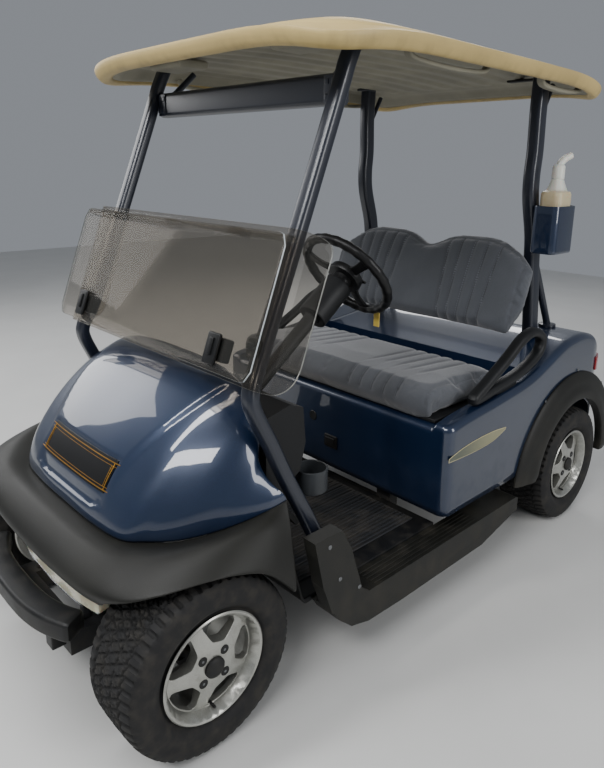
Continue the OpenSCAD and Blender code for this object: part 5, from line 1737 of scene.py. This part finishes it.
EYE = (1.605, -1.594, 1.367)
YAW, PITCH, ROLL = (math.radians(v) for v in (45.862, -14.961, 0.922))
SENSOR, FOCAL, SHIFT = 36.0, 30.6375, (-0.0233724, -0.0578125)
LAMPS = (
    ("key", (1.2, -3.4, 3.6), (0, -0.3, 0.6), (2.6, 0.9), 135),
    ("overhead", (-0.4, -1.6, 4.0), (0, 0, 0.5), (0.4, 3.2), 85),
    ("side", (4.2, 0.8, 2.2), (0, 0.2, 0.6), (1.4, 2.6), 95),
    ("left_fill", (-4.0, -1.5, 2.6), (0, 0, 0.6), (2.4, 2.4), 70),
    ("rear", (-2.6, 4.0, 3.4), (0, 0.4, 0.8), (2.2, 1.2), 60),
)


def build_stage():
    """A pale flat floor, soft light from all round, lamps overhead and to the sides, and the camera."""
    u, v = shares(60, 3)
    p = np.stack([u * 18000 - 9000, v * 14000 - 7000, np.zeros_like(v)], -1)
    mesh = mesh_from("floor", Shell().grid(p), closed=False)
    f = Finish("pale_floor")
    f.link(Base_Color=f.blend(f.noise(3.0, 3.0), tone("c4c4c2"), tone("cfcfcd")))
    f.link(Roughness=0.6 + f.noise(30.0) * 0.1)
    mesh.materials.append(f.material)
    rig.stage(placed("floor", mesh))
    world = bpy.data.worlds.new("studio")
    bpy.context.scene.world = world
    world.use_nodes = True
    back = world.node_tree.nodes["Background"]
    back.inputs["Color"].default_value = (0.82, 0.87, 0.95, 1)
    back.inputs["Strength"].default_value = 0.3
    for name, place, aim, spread, power in LAMPS:
        lamp = bpy.data.lights.new(name, "AREA")
        lamp.shape, lamp.energy = "RECTANGLE", power
        lamp.size, lamp.size_y = spread
        holder = placed(name, lamp)
        holder.location = place
        holder.rotation_euler = (Vector(aim) - Vector(place)).to_track_quat("-Z", "Y").to_euler()
    set_camera()


def set_camera():
    """The camera at EYE, turned by YAW about the vertical, down by PITCH and over by ROLL."""
    ahead = Vector((-math.sin(YAW) * math.cos(PITCH), math.cos(YAW) * math.cos(PITCH), math.sin(PITCH)))
    flat = Vector((math.cos(YAW), math.sin(YAW), 0))
    rise = flat.cross(ahead)
    right = flat * math.cos(ROLL) + rise * math.sin(ROLL)
    up = rise * math.cos(ROLL) - flat * math.sin(ROLL)
    lens = bpy.data.cameras.new("camera")
    lens.sensor_width, lens.lens = SENSOR, FOCAL
    lens.shift_x, lens.shift_y = SHIFT
    camera = placed("camera", lens)
    camera.matrix_world = Matrix.Translation(EYE) @ Matrix((right, up, -ahead)).transposed().to_4x4()
    bpy.context.scene.camera = camera


# ---------- add-on ----------


def length_property(name, description, default):
    """A length that the user can change."""
    return FloatProperty(name=name, description=description, default=default, unit="LENGTH", subtype="DISTANCE")


class CartSizes(PropertyGroup):
    channel_depth: length_property("Channel depth", "How deep the seat cushion's sewn channels are", 5 * MM)
    tread_depth: length_property("Tread depth", "How deep the tyres' grooves are", 5 * MM)
    shoulder: length_property("Body shoulder", "Radius of the rear body's upper edge", 24 * MM)


def shade_property(name, description, code):
    """A colour that the user can change."""
    settings = {"size": 4, "subtype": "COLOR", "min": 0, "max": 1}
    return FloatVectorProperty(name=name, description=description, default=tone(code), **settings)


class CartColours(PropertyGroup):
    body: shade_property("Body", "Colour of the lacquered body", "0b1e38")
    trim: shade_property("Trim", "Colour of the skirt, sills and flares", "191916")
    struts: shade_property("Struts", "Colour of the roof's posts", "171c28")
    seat: shade_property("Seat", "Colour of the seat covers", "4a4d53")
    canopy: shade_property("Roof", "Colour of the roof moulding", "b9a26a")
    liner: shade_property("Roof liner", "Colour of the roof's underside", "8c8878")


class CART_OT_stage(Operator):
    """Lays the pale floor, hangs the soft lamps and sets the camera."""

    bl_idname = "cart.stage"
    bl_label = "Stage and camera"

    def execute(self, context):
        build_stage()
        return {"FINISHED"}


class CART_OT_running_gear(Operator):
    """Finishes the frame, axles and steering gear, and winds the front springs."""

    bl_idname = "cart.running_gear"
    bl_label = "Running gear"

    def execute(self, context):
        build_running_gear()
        return {"FINISHED"}


class CART_OT_hood(Operator):
    """Makes the lacquered hood with its creases, its gasket and the blank badge."""

    bl_idname = "cart.hood"
    bl_label = "Hood and badge"

    def execute(self, context):
        build_hood()
        build_badge()
        return {"FINISHED"}


class CART_OT_skirt(Operator):
    """Makes the moulded skirt round the nose and its rolled hem."""

    bl_idname = "cart.skirt"
    bl_label = "Front skirt"

    def execute(self, context):
        build_skirt()
        return {"FINISHED"}


class CART_OT_bumper(Operator):
    """Makes the front bumper, the headlight bar, its legs and its bright strips."""

    bl_idname = "cart.bumper"
    bl_label = "Bumper and headlights"

    def execute(self, context):
        build_bumper()
        build_headlights()
        return {"FINISHED"}


class CART_OT_rear_body(Operator):
    """Makes the lacquered rear body with its rounded shoulder, its stripes, latch and socket."""

    bl_idname = "cart.rear_body"
    bl_label = "Rear body"

    def execute(self, context):
        build_rear_body()
        build_stripes()
        build_pod_details()
        return {"FINISHED"}


class CART_OT_flares(Operator):
    """Makes the bands round the rear wheel openings and their bolts."""

    bl_idname = "cart.flares"
    bl_label = "Wheel flares"

    def execute(self, context):
        build_flares()
        return {"FINISHED"}


class CART_OT_sills(Operator):
    """Eases the rocker panels, and adds their screws and tread."""

    bl_idname = "cart.sills"
    bl_label = "Sills"

    def execute(self, context):
        build_sills()
        return {"FINISHED"}


class CART_OT_floor(Operator):
    """Finishes the floor, mat, bag well, seat board, rear bumper and tail lights."""

    bl_idname = "cart.floor"
    bl_label = "Floor and linings"

    def execute(self, context):
        build_floor()
        return {"FINISHED"}


class CART_OT_posts(Operator):
    """Makes the front posts, the header beam and the rear posts with their braces."""

    bl_idname = "cart.posts"
    bl_label = "Roof posts"

    def execute(self, context):
        build_pillars()
        return {"FINISHED"}


class CART_OT_canopy(Operator):
    """Makes the roof moulding, its ribbed liner, grips and pads."""

    bl_idname = "cart.canopy"
    bl_label = "Roof"

    def execute(self, context):
        build_canopy()
        build_liner()
        build_grips()
        return {"FINISHED"}


class CART_OT_wheels(Operator):
    """Makes the four tyres with their tread and finishes the four alloy rims."""

    bl_idname = "cart.wheels"
    bl_label = "Wheels"

    def execute(self, context):
        for end in ("front", "rear"):
            for hand, side in (("left", 1), ("right", -1)):
                body = f"wheel_{end}_{hand}"
                build_tyre(f"tyre_{end}_{hand}", body)
                build_rim(f"rim_{end}_{hand}", body, side)
        return {"FINISHED"}


class CART_OT_windshield(Operator):
    """Makes both clear panes, their hinge and their clips."""

    bl_idname = "cart.windshield"
    bl_label = "Windshield"

    def execute(self, context):
        build_windshield()
        return {"FINISHED"}


class CART_OT_steering(Operator):
    """Makes the steering wheel, its clip and the key tag."""

    bl_idname = "cart.steering"
    bl_label = "Steering wheel"

    def execute(self, context):
        build_steering()
        return {"FINISHED"}


class CART_OT_dash(Operator):
    """Eases the dash, column and pedals, and adds switches and pedal ribs."""

    bl_idname = "cart.dash"
    bl_label = "Dash and pedals"

    def execute(self, context):
        build_dash()
        return {"FINISHED"}


class CART_OT_cup_holder(Operator):
    """Makes the cup holder and its two knobs."""

    bl_idname = "cart.cup_holder"
    bl_label = "Cup holder"

    def execute(self, context):
        build_cup_holder()
        return {"FINISHED"}


class CART_OT_armrests(Operator):
    """Makes both armrest loops."""

    bl_idname = "cart.armrests"
    bl_label = "Armrests"

    def execute(self, context):
        build_armrests()
        return {"FINISHED"}


class CART_OT_bottle(Operator):
    """Makes the sand bottle, its spout and its holder."""

    bl_idname = "cart.bottle"
    bl_label = "Sand bottle"

    def execute(self, context):
        build_bottle()
        return {"FINISHED"}


class CART_OT_cushion(Operator):
    """Makes the padded seat cushion."""

    bl_idname = "cart.cushion"
    bl_label = "Seat cushion"

    def execute(self, context):
        build_cushion()
        return {"FINISHED"}


class CART_OT_backrest(Operator):
    """Makes the padded two-humped backrest."""

    bl_idname = "cart.backrest"
    bl_label = "Backrest"

    def execute(self, context):
        build_backrest()
        return {"FINISHED"}


class CART_PT_panel(Panel):
    """Lists the cart's sizes, its colours and the buttons that make its pieces."""

    bl_idname = "CART_PT_panel"
    bl_label = "Two-seat cart"
    bl_space_type = "VIEW_3D"
    bl_region_type = "UI"
    bl_category = "Cart"

    def draw(self, context):
        scene = context.scene
        for group in (scene.cart_sizes, scene.cart_colours):
            for name in group.__annotations__:
                self.layout.prop(group, name)
        for made in OPERATORS:
            self.layout.operator(made.bl_idname)


OPERATORS = (
    CART_OT_stage,
    CART_OT_running_gear,
    CART_OT_hood,
    CART_OT_skirt,
    CART_OT_bumper,
    CART_OT_rear_body,
    CART_OT_flares,
    CART_OT_sills,
    CART_OT_floor,
    CART_OT_posts,
    CART_OT_canopy,
    CART_OT_wheels,
    CART_OT_windshield,
    CART_OT_steering,
    CART_OT_dash,
    CART_OT_cup_holder,
    CART_OT_armrests,
    CART_OT_bottle,
    CART_OT_cushion,
    CART_OT_backrest,
)
CLASSES = (CartSizes, CartColours, *OPERATORS, CART_PT_panel)


def register():
    for made in CLASSES:
        bpy.utils.register_class(made)
    bpy.types.Scene.cart_sizes = PointerProperty(type=CartSizes)
    bpy.types.Scene.cart_colours = PointerProperty(type=CartColours)


def unregister():
    del bpy.types.Scene.cart_colours
    del bpy.types.Scene.cart_sizes
    for made in reversed(CLASSES):
        bpy.utils.unregister_class(made)


def main():
    """Registers the add-on, makes every piece in order, and writes the frame's box and the finished box."""
    register()
    for made in OPERATORS:
        group, name = made.bl_idname.split(".")
        getattr(getattr(bpy.ops, group), name)()
    boxes = {"cad": [list(v) for v in CAD_BOX], "visual": [list(v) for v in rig.bounds()]}
    with open("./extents.json", "w") as f:
        json.dump(boxes, f)


if __name__ == "__main__":
    main()
